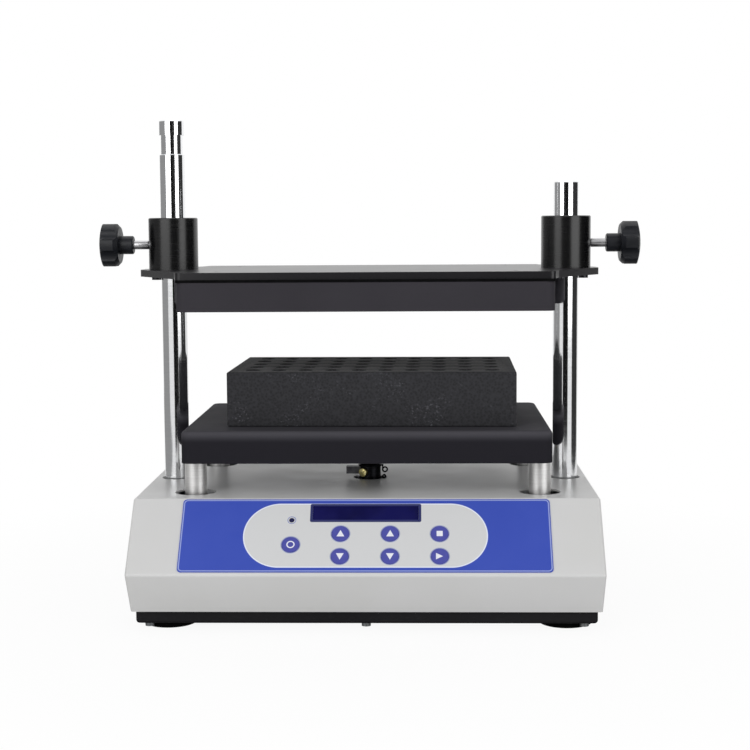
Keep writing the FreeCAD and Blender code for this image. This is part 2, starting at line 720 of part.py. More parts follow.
def make_bottom_tray():
    tray = body("tray_body")
    face = rectangle(sketch(tray, "XY_Plane", "tray_outline", S.tray_bottom),
                     -TRAY_HALF, TRAY_HALF, TRAY_FRONT, TRAY_REAR)
    solid = pad(tray, face, S.tray_wall)
    solid = fillet(tray, solid, upright, S.tray_corner)
    solid = shelled(tray, solid, S.tray_bottom + S.tray_wall, S.sheet)
    solid = fillet(tray, solid, level_at(TRAY_FLOOR), S.bend - S.sheet)
    fillet(tray, solid, level_at(S.tray_bottom), S.bend)
    holes = sketch(tray, "XY_Plane", "tray_holes", TRAY_FLOOR)
    for x, y in FOOT_SPOTS:
        circle(holes, x, y, S.foot_screw / 2 + S.slip)
    for x, y in BOLT_SPOTS:
        circle(holes, x, y, S.bolt_dia / 2 + S.slip)
    pocket(tray, holes, 2 * S.sheet)
    slot = sketch(tray, "XY_Plane", "tray_vent", TRAY_FLOOR)
    left = -S.motor_dia / 2
    rectangle(slot, left, left + S.vent_wide, S.drive_y - S.air_half, S.drive_y + S.air_half)
    vent = pocket(tray, slot, 2 * S.sheet)
    row_pattern(tray, vent, "X_Axis", TRAY_SLOTS, S.motor_dia / TRAY_SLOTS)
    side = sketch(tray, "YZ_Plane", "tray_side_holes", -TRAY_HALF)
    for y in FOOT_ROWS:
        circle(side, y, SIDE_SCREW_Z, S.bolt_dia / 2 + S.slip)
    pocket(tray, side, 4 * TRAY_HALF, middle=True)
    return node(tray, "bottom_tray")


def make_chassis():
    plate = body("chassis_body")
    face = rectangle(sketch(plate, "XY_Plane", "chassis_outline", TRAY_FLOOR),
                     -TRAY_HALF + S.bend, TRAY_HALF - S.bend, TRAY_FRONT + S.bend, TRAY_REAR - S.bend)
    solid = pad(plate, face, S.chassis_thick)
    fillet(plate, solid, upright, S.tray_corner)
    holes = sketch(plate, "XY_Plane", "chassis_holes", CHASSIS_TOP)
    for x, y in FOOT_SPOTS:
        circle(holes, x, y, S.foot_screw / 2 + S.slip)
    for x, y in BOLT_SPOTS:
        circle(holes, x, y, S.bolt_dia / 2 + S.slip)
    for x, y in BRIDGE_SCREWS:
        circle(holes, x, y, S.foot_screw / 2 + S.slip)
    pocket(plate, holes, 2 * S.chassis_thick, middle=True)
    air = sketch(plate, "XY_Plane", "chassis_window", CHASSIS_TOP)
    half = S.motor_dia / 2 + S.air_room
    rectangle(air, -half, half, S.drive_y - S.air_half, S.drive_y + S.air_half)
    pocket(plate, air, 2 * S.chassis_thick, middle=True)
    studs = sketch(plate, "XY_Plane", "supply_studs", CHASSIS_TOP)
    for x, y in SUPPLY_STUDS:
        circle(studs, x, y, S.supply_stud / 2)
    pad(plate, studs, S.supply_lift)
    return node(plate, "chassis_plate")


def make_feet():
    feet = []
    screws = []
    top_radius = S.foot_dia / 2
    sole_radius = S.foot_sole / 2
    recess = S.foot_head / 2 + S.head_room
    bore = S.foot_screw / 2 + S.slip
    shelf = S.foot_head_high + S.foot_sink
    for index, (x, y) in enumerate(FOOT_SPOTS, start=1):
        tag = str(index)
        foot = body("foot_" + tag)
        profile = outline(sketch(foot, "XZ_Plane", "foot_profile_" + tag), [
            (recess, 0), (sole_radius, 0, 1.8 * S.tray_bottom, -1),
            (top_radius, S.tray_bottom - S.sheet), (top_radius, S.tray_bottom),
            (bore, S.tray_bottom), (bore, shelf), (recess, shelf)])
        revolved(foot, profile)
        feet.append(put(foot, x, y, 0))
        head = cylinder("foot_screw_head_" + tag, S.foot_head / 2, S.foot_head_high, x, y, S.foot_sink)
        shank = cylinder("foot_screw_shank_" + tag, S.foot_screw / 2, CHASSIS_TOP - S.foot_sink, x, y,
                         S.foot_sink)
        screws.append(fused("foot_screw_" + tag, [head, shank]))
    node(together("feet_group", feet), "rubber_feet")
    node(together("foot_screws_group", screws), "foot_screws")


def make_chassis_bolts():
    bolts = []
    for index, (x, y) in enumerate(BOLT_SPOTS, start=1):
        tag = str(index)
        head_z = S.tray_bottom - S.bolt_head_high
        head = cylinder("bolt_head_" + tag, S.bolt_head / 2, S.bolt_head_high, x, y, head_z)
        shank = cylinder("bolt_shank_" + tag, S.bolt_dia / 2, CHASSIS_TOP - head_z, x, y, head_z)
        blank = fused("bolt_blank_" + tag, [head, shank])
        socket = hexagon("bolt_socket_" + tag, S.bolt_head / 2, 2 * S.bolt_socket_deep, x, y,
                         head_z - S.bolt_socket_deep)
        bolts.append(cut("bolt_" + tag, blank, socket))
    return node(together("chassis_bolts_group", bolts), "chassis_bolts")


def make_cover_screws():
    """Countersunk screws, flush with the cover's sides, into the tray's walls."""
    screws = []
    z = SIDE_SCREW_Z
    for side in (-1, 1):
        for y in FOOT_ROWS:
            tag = str(len(screws) + 1)
            face_x = side * (S.cover_width / 2)
            turn = -90 * side
            head = cone("cover_screw_head_" + tag, S.bolt_dia / 2 + S.screw_sink, S.bolt_dia / 2, S.screw_sink,
                        face_x, y, z, Y_AXIS, turn)
            shank = cylinder("cover_screw_shank_" + tag, S.bolt_dia / 2, 4 * S.sheet, face_x, y, z, Y_AXIS, turn)
            screws.append(fused("cover_screw_" + tag, [head, shank]))
    return node(together("cover_screws_group", screws), "cover_screws")


def make_top_cover():
    cover = body("cover_body")
    half = S.cover_width / 2
    profile = outline(sketch(cover, "YZ_Plane", "cover_profile"), [
        (-S.lip_reach, S.cover_bottom), (S.rear_reach, S.cover_bottom), (S.rear_reach, S.cover_top),
        (-S.top_reach, S.cover_top), (-S.fold_reach, S.fold_height)])
    solid = pad(cover, profile, S.cover_width, middle=True)
    solid = shelled(cover, solid, S.cover_bottom, S.sheet)
    folds = box_edges(solid, S.cover_bottom)
    solid = fillet(cover, solid, folds["inside"], S.bend - S.sheet)
    fillet(cover, solid, folds["outside"], S.bend)
    hem = sketch(cover, "XY_Plane", "cover_hem", S.cover_bottom)
    embed = 0.5 * S.sheet
    rectangle(hem, -half + embed, half - embed, -S.lip_reach + embed, S.rear_reach - embed)
    rectangle(hem, -half + 2 * S.sheet, half - 2 * S.sheet, -S.lip_reach + 2 * S.sheet,
              S.rear_reach - 2 * S.sheet)
    pad(cover, hem, S.hem_height)
    holes = sketch(cover, "XY_Plane", "cover_top_holes", S.cover_top)
    for tag, side, way in STAND_CORNERS:
        circle(holes, side * STAND_X, S.drive_y + way * STAND_Y, S.stand_hole / 2)
    for side in (-1, 1):
        circle(holes, side * S.post_x, S.drive_y, S.post_hole / 2)
    circle(holes, 0, S.drive_y, S.hub_dia / 2 + S.hub_room)
    pocket(cover, holes, 4 * S.sheet, middle=True)
    panel = panel_sketch(cover, "cover_panel_holes")
    for name, x, down in KEYS:
        circle(panel, x, -down, S.key_dia / 2 + S.key_room)
    circle(panel, -S.key_x, -S.lamp_down, S.lamp_dia / 2 + S.key_room)
    ledge = S.window_ledge
    rectangle(panel, -S.window_width / 2 + ledge, S.window_width / 2 - ledge,
              -S.window_down - S.window_high / 2 + ledge, -S.window_down + S.window_high / 2 - ledge)
    pocket(cover, panel, 4 * S.sheet, middle=True)
    studs = panel_sketch(cover, "cover_panel_studs")
    for x, down in BOARD_STUDS:
        circle(studs, x, -down, S.board_stud / 2)
    pad(cover, studs, S.board_depth, back=True)
    rear = sketch(cover, "XZ_Plane", "cover_rear_holes", -S.rear_reach)
    lap = S.inlet_lap
    rectangle(rear, S.inlet_x - S.inlet_width / 2 + lap, S.inlet_x + S.inlet_width / 2 - lap,
              S.inlet_height - S.inlet_high / 2 + lap, S.inlet_height + S.inlet_high / 2 - lap)
    rim = S.switch_lap
    rectangle(rear, S.switch_x - S.switch_width / 2 + rim, S.switch_x + S.switch_width / 2 - rim,
              S.inlet_height - S.switch_high / 2 + rim, S.inlet_height + S.switch_high / 2 - rim)
    pocket(cover, rear, 4 * S.sheet, middle=True)
    slot = sketch(cover, "XZ_Plane", "cover_vent", -S.rear_reach)
    rectangle(slot, -S.vent_start, -S.vent_start + S.vent_wide, S.inlet_height - S.vent_high / 2,
              S.inlet_height + S.vent_high / 2)
    vent = pocket(cover, slot, 4 * S.sheet, middle=True)
    row_pattern(cover, vent, "X_Axis", VENT_SLOTS, S.vent_pitch)
    side_holes = sketch(cover, "YZ_Plane", "cover_side_holes")
    for y in FOOT_ROWS:
        circle(side_holes, y, SIDE_SCREW_Z, S.bolt_dia / 2 + S.slip)
    pocket(cover, side_holes, 2 * S.cover_width, middle=True)
    for tag, side in (("left", -1), ("right", 1)):
        sink = sketch(cover, "YZ_Plane", "cover_countersinks_" + tag, side * half)
        for y in FOOT_ROWS:
            circle(sink, y, SIDE_SCREW_Z, S.bolt_dia / 2 + S.slip + S.screw_sink)
        taper = pocket(cover, sink, S.screw_sink, back=side < 0)
        taper.TaperAngle = -45
    return node(cover, "top_cover")


def make_control_overlay():
    overlay = body("overlay_body")
    half = S.overlay_width / 2
    face = rectangle(sketch(overlay, "XY_Plane", "overlay_outline"), -half, half,
                     -S.overlay_inset - S.overlay_high, -S.overlay_inset)
    solid = pad(overlay, face, S.overlay_thick)
    fillet(overlay, solid, upright, 2 * S.sheet)
    holes = sketch(overlay, "XY_Plane", "overlay_holes")
    for name, x, down in KEYS:
        circle(holes, x, -down, S.key_dia / 2 + S.key_room)
    circle(holes, -S.key_x, -S.lamp_down, S.lamp_dia / 2 + S.key_room)
    rectangle(holes, -S.window_width / 2 - S.slip, S.window_width / 2 + S.slip,
              -S.window_down - S.window_high / 2 - S.slip, -S.window_down + S.window_high / 2 + S.slip)
    pocket(overlay, holes, 4 * S.overlay_thick, middle=True)
    return node(on_panel(overlay), "control_overlay")


def make_display():
    window = body("window_body")
    face = rectangle(sketch(window, "XY_Plane", "window_outline"), -S.window_width / 2, S.window_width / 2,
                     -S.window_down - S.window_high / 2, -S.window_down + S.window_high / 2)
    pad(window, face, S.overlay_thick - S.slip)
    node(on_panel(window), "display_window")
    module = body("display_body")
    frame = rectangle(sketch(module, "XY_Plane", "display_frame", -S.sheet),
                      -S.window_width / 2 - S.module_side, S.window_width / 2 + S.module_side,
                      -S.window_down - S.window_high / 2 - S.module_edge,
                      -S.window_down + S.window_high / 2 + S.module_edge)
    pad(module, frame, S.module_deep, back=True)
    inset = S.glass_inset
    glass = rectangle(sketch(module, "XY_Plane", "display_glass", -S.sheet),
                      -S.window_width / 2 + inset, S.window_width / 2 - inset,
                      -S.window_down - S.window_high / 2 + inset, -S.window_down + S.window_high / 2 - inset)
    pad(module, glass, S.sheet - S.slip)
    return node(on_panel(module), "display_module")


def make_control_board():
    board = body("board_body")
    face = rectangle(sketch(board, "XY_Plane", "board_outline", -S.board_depth),
                     -BOARD_WIDTH / 2, BOARD_WIDTH / 2, -BOARD_DOWN - S.board_high / 2, -BOARD_DOWN + S.board_high / 2)
    pad(board, face, S.sheet, back=True)
    switches = sketch(board, "XY_Plane", "board_switches", -S.board_depth)
    half = S.tact_wide / 2
    for name, x, down in KEYS:
        rectangle(switches, x - half, x + half, -down - half, -down + half)
    pad(board, switches, S.board_depth - KEY_STEM_REACH - KEY_TRAVEL_ROOM)
    chips = sketch(board, "XY_Plane", "board_chips", -S.board_depth - S.sheet)
    for column in (-1, 0, 1):
        rectangle(chips, column * S.key_x - S.chip_wide / 2, column * S.key_x + S.chip_wide / 2,
                  -BOARD_DOWN - S.chip_long / 2, -BOARD_DOWN + S.chip_long / 2)
    pad(board, chips, S.chip_high, back=True)
    return node(on_panel(board), "control_board")


def make_keys():
    """Domed keys; each stands just proud of the overlay and presses a switch on the board."""
    for name, x, down in KEYS:
        key = body(name + "_body")
        radius = S.key_dia / 2
        rim = radius + S.key_skirt
        crown = S.overlay_thick + S.key_proud
        profile = outline(sketch(key, "XZ_Plane", name + "_profile"), [
            (0, -KEY_STEM_REACH), (radius / 3, -KEY_STEM_REACH), (radius / 3, -S.sheet - S.key_under),
            (rim, -S.sheet - S.key_under), (rim, -S.sheet - S.slip), (radius, -S.sheet - S.slip),
            (radius, crown - S.key_edge), (radius - S.key_edge, crown), (0, crown)])
        revolved(key, profile)
        key.Placement = FreeCAD.Placement(FreeCAD.Vector(0, 0, 0), FreeCAD.Rotation(X_AXIS, number(PANEL_TILT)))
        tilt = PANEL_TILT.text
        key.setExpression(".Placement.Base.x", x.text)
        key.setExpression(".Placement.Base.y", (-S.top_reach).text + " - " + down.text + " * cos(" + tilt + ")")
        key.setExpression(".Placement.Base.z", S.cover_top.text + " - " + down.text + " * sin(" + tilt + ")")
        key.setExpression(".Placement.Rotation.Angle", tilt)
        node(key, name)


def make_lamp():
    lamp = body("lamp_body")
    radius = S.lamp_dia / 2
    profile = outline(sketch(lamp, "XZ_Plane", "lamp_profile"), [
        (0, -KEY_STEM_REACH), (radius, -KEY_STEM_REACH), (radius, S.overlay_thick - S.key_edge),
        (radius - S.key_edge, S.overlay_thick), (0, S.overlay_thick)])
    revolved(lamp, profile)
    tilt = PANEL_TILT.text
    lamp.Placement = FreeCAD.Placement(FreeCAD.Vector(0, 0, 0), FreeCAD.Rotation(X_AXIS, number(PANEL_TILT)))
    lamp.setExpression(".Placement.Base.x", (-S.key_x).text)
    lamp.setExpression(".Placement.Base.y", (-S.top_reach).text + " - " + S.lamp_down.text + " * cos(" + tilt + ")")
    lamp.setExpression(".Placement.Base.z", S.cover_top.text + " - " + S.lamp_down.text + " * sin(" + tilt + ")")
    lamp.setExpression(".Placement.Rotation.Angle", tilt)
    return node(lamp, "indicator_lamp")


def make_power_supply():
    board = block("supply_board", S.supply_width, S.supply_deep, S.sheet, SUPPLY_X, S.drive_y,
                  CHASSIS_TOP + S.supply_lift)
    deck = CHASSIS_TOP + S.supply_lift + S.sheet
    left = SUPPLY_X - 0.3 * S.supply_width
    right = SUPPLY_X + 0.35 * S.supply_width
    reach = 0.2 * S.supply_deep
    coil = block("supply_coil", 0.3 * S.supply_width, 0.4 * S.supply_deep, S.coil_high, SUPPLY_X, S.drive_y, deck)
    can_one = cylinder("supply_can_one", S.can_dia / 2, S.can_high, left, S.drive_y - reach, deck)
    can_two = cylinder("supply_can_two", S.can_dia / 2, S.can_high, left, S.drive_y + reach, deck)
    sink = block("supply_heat_sink", S.sink_thick, 0.7 * S.supply_deep, S.sink_high, right, S.drive_y, deck)
    return node(fused("supply_fused", [board, coil, can_one, can_two, sink]), "power_supply_board")


def make_bridge():
    """Hat-section bridge, folded from steel strip: the motor hangs from it and the isolators stand on it."""
    bridge = body("bridge_body")
    half = S.bridge_width / 2
    toe = half + S.bridge_foot
    thick = S.bridge_thick
    face = outline(sketch(bridge, "XZ_Plane", "bridge_profile", -S.drive_y), [
        (-toe, CHASSIS_TOP), (-half + thick, CHASSIS_TOP), (-half + thick, BRIDGE_UNDER),
        (half - thick, BRIDGE_UNDER), (half - thick, CHASSIS_TOP), (toe, CHASSIS_TOP),
        (toe, CHASSIS_TOP + thick), (half, CHASSIS_TOP + thick), (half, S.bridge_top),
        (-half, S.bridge_top), (-half, CHASSIS_TOP + thick), (-toe, CHASSIS_TOP + thick)])
    pad(bridge, face, S.bridge_deep, middle=True)
    holes = sketch(bridge, "XY_Plane", "bridge_holes", S.bridge_top)
    circle(holes, 0, S.drive_y, S.motor_boss / 2 + S.seat)
    for x, y in MOTOR_SCREWS:
        circle(holes, x, y, S.bolt_dia / 2 + S.slip)
    pocket(bridge, holes, 2 * S.bridge_thick)
    toes = sketch(bridge, "XY_Plane", "bridge_toe_holes", CHASSIS_TOP)
    for x, y in BRIDGE_SCREWS:
        circle(toes, x, y, S.foot_screw / 2 + S.slip)
    pocket(bridge, toes, 4 * S.bridge_thick, middle=True)
    return node(bridge, "motor_bridge")


def make_motor():
    motor = body("motor_body")
    radius = S.motor_dia / 2
    top = BRIDGE_UNDER
    low = BRIDGE_UNDER - S.motor_high
    boss = S.motor_boss / 2
    bore = S.shaft_dia / 2 + S.fit
    cap = S.motor_cap
    step = S.motor_step
    profile = outline(sketch(motor, "XZ_Plane", "motor_profile"), [
        (bore, low + cap), (bore, top + S.bridge_thick), (boss, top + S.bridge_thick), (boss, top), (radius, top),
        (radius, top - cap + step), (radius - step, top - cap), (radius - step, low + cap + step),
        (radius, low + cap), (radius, low + step), (radius - step, low), (0, low), (0, low + cap)])
    revolved(motor, profile)
    taps = sketch(motor, "XY_Plane", "motor_taps", top)
    for x, y in MOTOR_SCREWS:
        circle(taps, x, y - S.drive_y, S.bolt_dia / 2 + S.slip)
    pocket(motor, taps, S.motor_tap_deep)
    return node(put(motor, 0, S.drive_y, 0), "motor_housing")


def make_mount_screws():
    screws = []
    for x, y in BRIDGE_SCREWS:
        tag = str(len(screws) + 1)
        seat_z = CHASSIS_TOP + S.bridge_thick
        head = cylinder("mount_head_" + tag, S.foot_screw * 0.85, S.foot_screw * 0.7, x, y, seat_z)
        shank = cylinder("mount_shank_" + tag, S.foot_screw / 2, S.bridge_thick + S.chassis_thick, x, y,
                         seat_z - S.bridge_thick - S.chassis_thick)
        screws.append(fused("mount_screw_" + tag, [head, shank]))
    for x, y in MOTOR_SCREWS:
        tag = str(len(screws) + 1)
        head = cylinder("mount_head_" + tag, S.bolt_head / 2, S.bolt_head_high / 2, x, y, S.bridge_top)
        shank = cylinder("mount_shank_" + tag, S.bolt_dia / 2, S.bridge_thick + S.motor_cap, x, y,
                         BRIDGE_UNDER - S.motor_cap)
        screws.append(fused("mount_screw_" + tag, [head, shank]))
    return node(together("mount_screws_group", screws), "mount_screws")


def make_isolators():
    """Waisted rubber blocks between bridge and carrier plate."""
    blocks = []
    radius = S.isolator_dia / 2
    high = S.carrier_bottom - S.bridge_top - S.seat
    for side in (-1, 1):
        for way in (-1, 1):
            tag = str(len(blocks) + 1)
            block_body = body("isolator_" + tag)
            profile = outline(sketch(block_body, "XZ_Plane", "isolator_profile_" + tag), [
                (0, 0), (radius, 0), (radius, 0.15 * high, high, 1), (radius, 0.85 * high), (radius, high),
                (0, high)])
            revolved(block_body, profile)
            blocks.append(put(block_body, side * S.isolator_x, S.drive_y + way * S.isolator_y, S.bridge_top))
    return node(together("isolators_group", blocks), "rubber_isolators")


def make_inlet():
    """Power inlet with a recessed socket, three blades and a pocket for the fuse drawer."""
    inlet = body("inlet_body")
    wide = S.inlet_width / 2
    high = S.inlet_high / 2
    back = -S.rear_reach
    room = S.inlet_lap + S.seat
    flange = rectangle(sketch(inlet, "XZ_Plane", "inlet_flange", back), S.inlet_x - wide, S.inlet_x + wide,
                       S.inlet_height - high, S.inlet_height + high)
    solid = pad(inlet, flange, S.flange_thick, back=True)
    fillet(inlet, solid, lambda edge: edge.BoundBox.YLength > 1, S.inlet_lap)
    shell = rectangle(sketch(inlet, "XZ_Plane", "inlet_shell", back),
                      S.inlet_x - wide + room, S.inlet_x + wide - room,
                      S.inlet_height - high + room, S.inlet_height + high - room)
    pad(inlet, shell, S.inlet_body_deep)
    front = back - S.flange_thick
    left = SOCKET_X - SOCKET_HALF
    right = SOCKET_X + SOCKET_HALF
    slant = SOCKET_SHOULDER
    socket = outline(sketch(inlet, "XZ_Plane", "inlet_socket", front), [
        (left, SOCKET_LOW), (right, SOCKET_LOW), (right, SOCKET_TOP - slant), (right - slant, SOCKET_TOP),
        (left + slant, SOCKET_TOP), (left, SOCKET_TOP - slant)])
    pocket(inlet, socket, S.socket_deep, back=True)
    drawer = rectangle(sketch(inlet, "XZ_Plane", "inlet_drawer_pocket", front), DRAWER_LEFT - S.slip,
                       DRAWER_RIGHT + S.slip, DRAWER_LOW - S.slip, DRAWER_TOP + S.slip)
    pocket(inlet, drawer, S.drawer_deep, back=True)
    blades = sketch(inlet, "XZ_Plane", "inlet_blades", front + S.socket_deep)
    reach = 0.3 * S.socket_wide
    rise = S.blade_high / 2
    for x, z in ((SOCKET_X - reach, S.inlet_height - rise), (SOCKET_X + reach, S.inlet_height - rise),
                 (SOCKET_X, S.inlet_height + rise)):
        rectangle(blades, x - S.blade_wide / 2, x + S.blade_wide / 2, z - rise, z + rise)
    pad(inlet, blades, S.blade_long, back=True)
    return node(inlet, "power_inlet")


def make_fuse_drawer():
    drawer = body("drawer_body")
    front = -S.rear_reach - S.flange_thick
    face = rectangle(sketch(drawer, "XZ_Plane", "drawer_face", front), DRAWER_LEFT, DRAWER_RIGHT,
                     DRAWER_LOW, DRAWER_TOP)
    pad(drawer, face, S.drawer_deep - S.seat)
    margin = S.drawer_high / 7
    depth = S.drawer_wide / 2
    fuse = rectangle(sketch(drawer, "YZ_Plane", "drawer_pocket", DRAWER_RIGHT),
                     S.rear_reach - S.drawer_deep + 2.5 * margin, S.rear_reach - margin / 2,
                     DRAWER_LOW + margin, DRAWER_TOP - margin)
    pocket(drawer, fuse, depth)
    nick = rectangle(sketch(drawer, "XZ_Plane", "drawer_nick", front),
                     DRAWER_LEFT + depth / 2, DRAWER_RIGHT - depth / 2, DRAWER_TOP - 1.4 * margin,
                     DRAWER_TOP - 0.7 * margin)
    pocket(drawer, nick, S.sheet / 2, back=True)
    return node(drawer, "fuse_drawer")


def make_switch():
    bezel = body("bezel_body")
    wide = S.switch_width / 2
    high = S.switch_high / 2
    back = -S.rear_reach
    flange = rectangle(sketch(bezel, "XZ_Plane", "bezel_flange", back), S.switch_x - wide, S.switch_x + wide,
                       S.inlet_height - high, S.inlet_height + high)
    solid = pad(bezel, flange, S.flange_thick, back=True)
    fillet(bezel, solid, lambda edge: edge.BoundBox.YLength > 1, S.switch_lap)
    rim = S.switch_lap + S.seat
    case = rectangle(sketch(bezel, "XZ_Plane", "bezel_case", back), S.switch_x - wide + rim,
                     S.switch_x + wide - rim, S.inlet_height - high + rim, S.inlet_height + high - rim)
    pad(bezel, case, S.switch_deep)
    wall = S.switch_wall
    room = rectangle(sketch(bezel, "XZ_Plane", "bezel_room", back - S.flange_thick), S.switch_x - wide + wall,
                     S.switch_x + wide - wall, S.inlet_height - high + wall, S.inlet_height + high - wall)
    pocket(bezel, room, S.switch_room, back=True)
    grip = S.switch_width / 2 - wall + S.pin_grip + S.slip
    bore = circle(sketch(bezel, "YZ_Plane", "bezel_pivot", S.switch_x), PIVOT_Y, S.inlet_height,
                  S.rocker_pin / 2 + S.fit)
    pocket(bezel, bore, 2 * grip, middle=True)
    node(bezel, "switch_bezel")
    rocker = body("rocker_body")
    # Seen from the side: a shallow vee, its upper end out, every corner within reach of the pivot.
    plate = outline(sketch(rocker, "YZ_Plane", "rocker_side", S.switch_x), [
        (PIVOT_Y + 0.74, S.inlet_height - 7.68), (PIVOT_Y + 0.3, S.inlet_height),
        (PIVOT_Y + 2.82, S.inlet_height + 7.18), (PIVOT_Y - 3.2, S.inlet_height + 6.9),
        (PIVOT_Y - 6, S.inlet_height + 2), (PIVOT_Y - 6, S.inlet_height - 2),
        (PIVOT_Y - 3.2, S.inlet_height - 6.9)])
    pad(rocker, plate, S.switch_width - 2 * wall - 2 * S.rocker_gap, middle=True)
    pins = circle(sketch(rocker, "YZ_Plane", "rocker_pins", S.switch_x), PIVOT_Y, S.inlet_height, S.rocker_pin / 2)
    pad(rocker, pins, S.switch_width - 2 * wall + 2 * S.pin_grip, middle=True)
    return node(rocker, "power_rocker")


# Drive

def make_drive():
    shaft_low = BRIDGE_UNDER - S.motor_high + S.motor_cap + S.seat
    shaft = cylinder("shaft", S.shaft_dia / 2, S.hub_top - S.hub_cap - S.seat - shaft_low, 0, S.drive_y, shaft_low)
    node(shaft, "motor_shaft")

    hub = body("hub_body")
    radius = S.hub_dia / 2
    bore = S.shaft_dia / 2 + S.fit
    bevel = S.stand_bevel
    profile = outline(sketch(hub, "XZ_Plane", "hub_profile"), [
        (bore, S.hub_bottom), (radius, S.hub_bottom), (radius, S.hub_top - bevel), (radius - bevel, S.hub_top),
        (0, S.hub_top), (0, S.hub_top - S.hub_cap), (bore, S.hub_top - S.hub_cap)])
    revolved(hub, profile)
    pin = circle(sketch(hub, "XY_Plane", "eccentric_pin", S.hub_top), 0, S.orbit, S.pin_dia / 2 - S.fit)
    pad(hub, pin, S.pin_high)
    tap = sketch(hub, "XZ_Plane", "balance_tap")
    tap.AttachmentOffset = FreeCAD.Placement(FreeCAD.Vector(0, 0, 0),
                                             FreeCAD.Rotation(Y_AXIS, -number(S.balance_turn)))
    circle(tap, 0, BALANCE_Z, S.balance_dia / 2 + S.slip)
    pocket(hub, tap, S.hub_dia, back=True)
    node(put(hub, 0, S.drive_y, 0), "eccentric_hub")

    weight = body("weight_body")
    low = S.hub_bottom + S.bridge_thick / 4
    wing = radius + S.weight_thick / 2
    face = sketch(weight, "XY_Plane", "weight_outline", low)
    outline(face, [(-S.weight_radius, 0, 1.03 * S.weight_radius, -1), (S.weight_radius, 0),
                   (wing, wing), (-wing, wing)])
    pad(weight, face, S.weight_thick)
    hole = circle(sketch(weight, "XY_Plane", "weight_bore", low), 0, 0, radius + S.fit)
    pocket(weight, hole, 4 * S.weight_thick, middle=True)
    node(put(weight, 0, S.drive_y, 0), "counterweight")

    inner = radius - S.bend
    bar = block("lug_bar", S.lug_long + S.bend, S.lug_wide, S.lug_high, -inner - (S.lug_long + S.bend) / 2,
                S.drive_y, S.cover_top + S.lug_lift)
    seat = cylinder("lug_seat", radius + S.fit, 4 * S.lug_high, 0, S.drive_y, S.cover_top)
    node(cut("lug_cut", bar, seat), "trim_weight")

    head = cylinder("balance_head", S.balance_head / 2, S.balance_long, 0, -radius, 0, X_AXIS, 90)
    shank = cylinder("balance_shank", S.balance_dia / 2, radius, 0, -radius / 4, 0, X_AXIS, 90)
    screw = fused("balance_fused", [head, shank])
    node(put(screw, 0, S.drive_y, BALANCE_Z, Z_AXIS, -S.balance_turn), "balance_screw")

    clips = []
    wire = S.clip_wire / 2
    for tag, height, eye_height, eye in (("lower", S.clip_low, S.clip_low, S.eye_small),
                                         ("upper", S.clip_high, S.clip_eye_high, S.eye_large)):
        ring = DOC.addObject("Part::Torus", tag + "_clip_ring")
        bind(ring, "Radius1", radius + wire)
        bind(ring, "Radius2", wire)
        put(ring, 0, S.drive_y, S.cover_top + height)
        bent = radius + 2 * wire + S.seat
        tail = cylinder(tag + "_clip_tail", wire, height - eye_height + 2 * wire, bent, S.drive_y,
                        S.cover_top + eye_height - wire)
        curl = DOC.addObject("Part::Torus", tag + "_clip_eye")
        bind(curl, "Radius1", eye / 2)
        bind(curl, "Radius2", wire)
        put(curl, bent + eye / 2, S.drive_y, S.cover_top + eye_height, X_AXIS, 90)
        clips.append(fused(tag + "_clip", [ring, tail, curl]))
    node(together("clips_group", clips), "retaining_clips")


# Platform

def make_carrier():
    carrier = body("carrier_body")
    half = S.post_x + S.carrier_side
    deep = STAND_Y + S.carrier_end
    face = rectangle(sketch(carrier, "XY_Plane", "carrier_outline", S.carrier_bottom), -half, half,
                     POST_Y - deep, POST_Y + deep)
    solid = pad(carrier, face, S.carrier_thick)
    fillet(carrier, solid, upright, 2 * S.carrier_thick)
    holes = sketch(carrier, "XY_Plane", "carrier_holes", S.carrier_bottom)
    for tag, side, way in STAND_CORNERS:
        circle(holes, side * STAND_X, POST_Y + way * STAND_Y, S.collar_screw / 2 + S.slip)
    for side in (-1, 1):
        circle(holes, side * S.post_x, POST_Y, S.post_spigot / 2 + S.slip)
    circle(holes, 0, POST_Y, S.hub_dia / 2 + S.orbit + S.hub_room)
    pocket(carrier, holes, 4 * S.carrier_thick, middle=True)
    windows = sketch(carrier, "XY_Plane", "carrier_windows", S.carrier_bottom)
    inner = S.hub_dia + S.window_gap / 2
    outer = S.isolator_x - S.isolator_dia
    near = S.window_gap / 2
    far = deep - S.post_dia
    for left, right in ((-outer, -inner), (inner, outer)):
        for low, high in ((-far, -near), (near, far)):
            rectangle(windows, left, right, POST_Y + low, POST_Y + high)
    pocket(carrier, windows, 4 * S.carrier_thick, middle=True)
    return node(carrier, "carrier_plate")


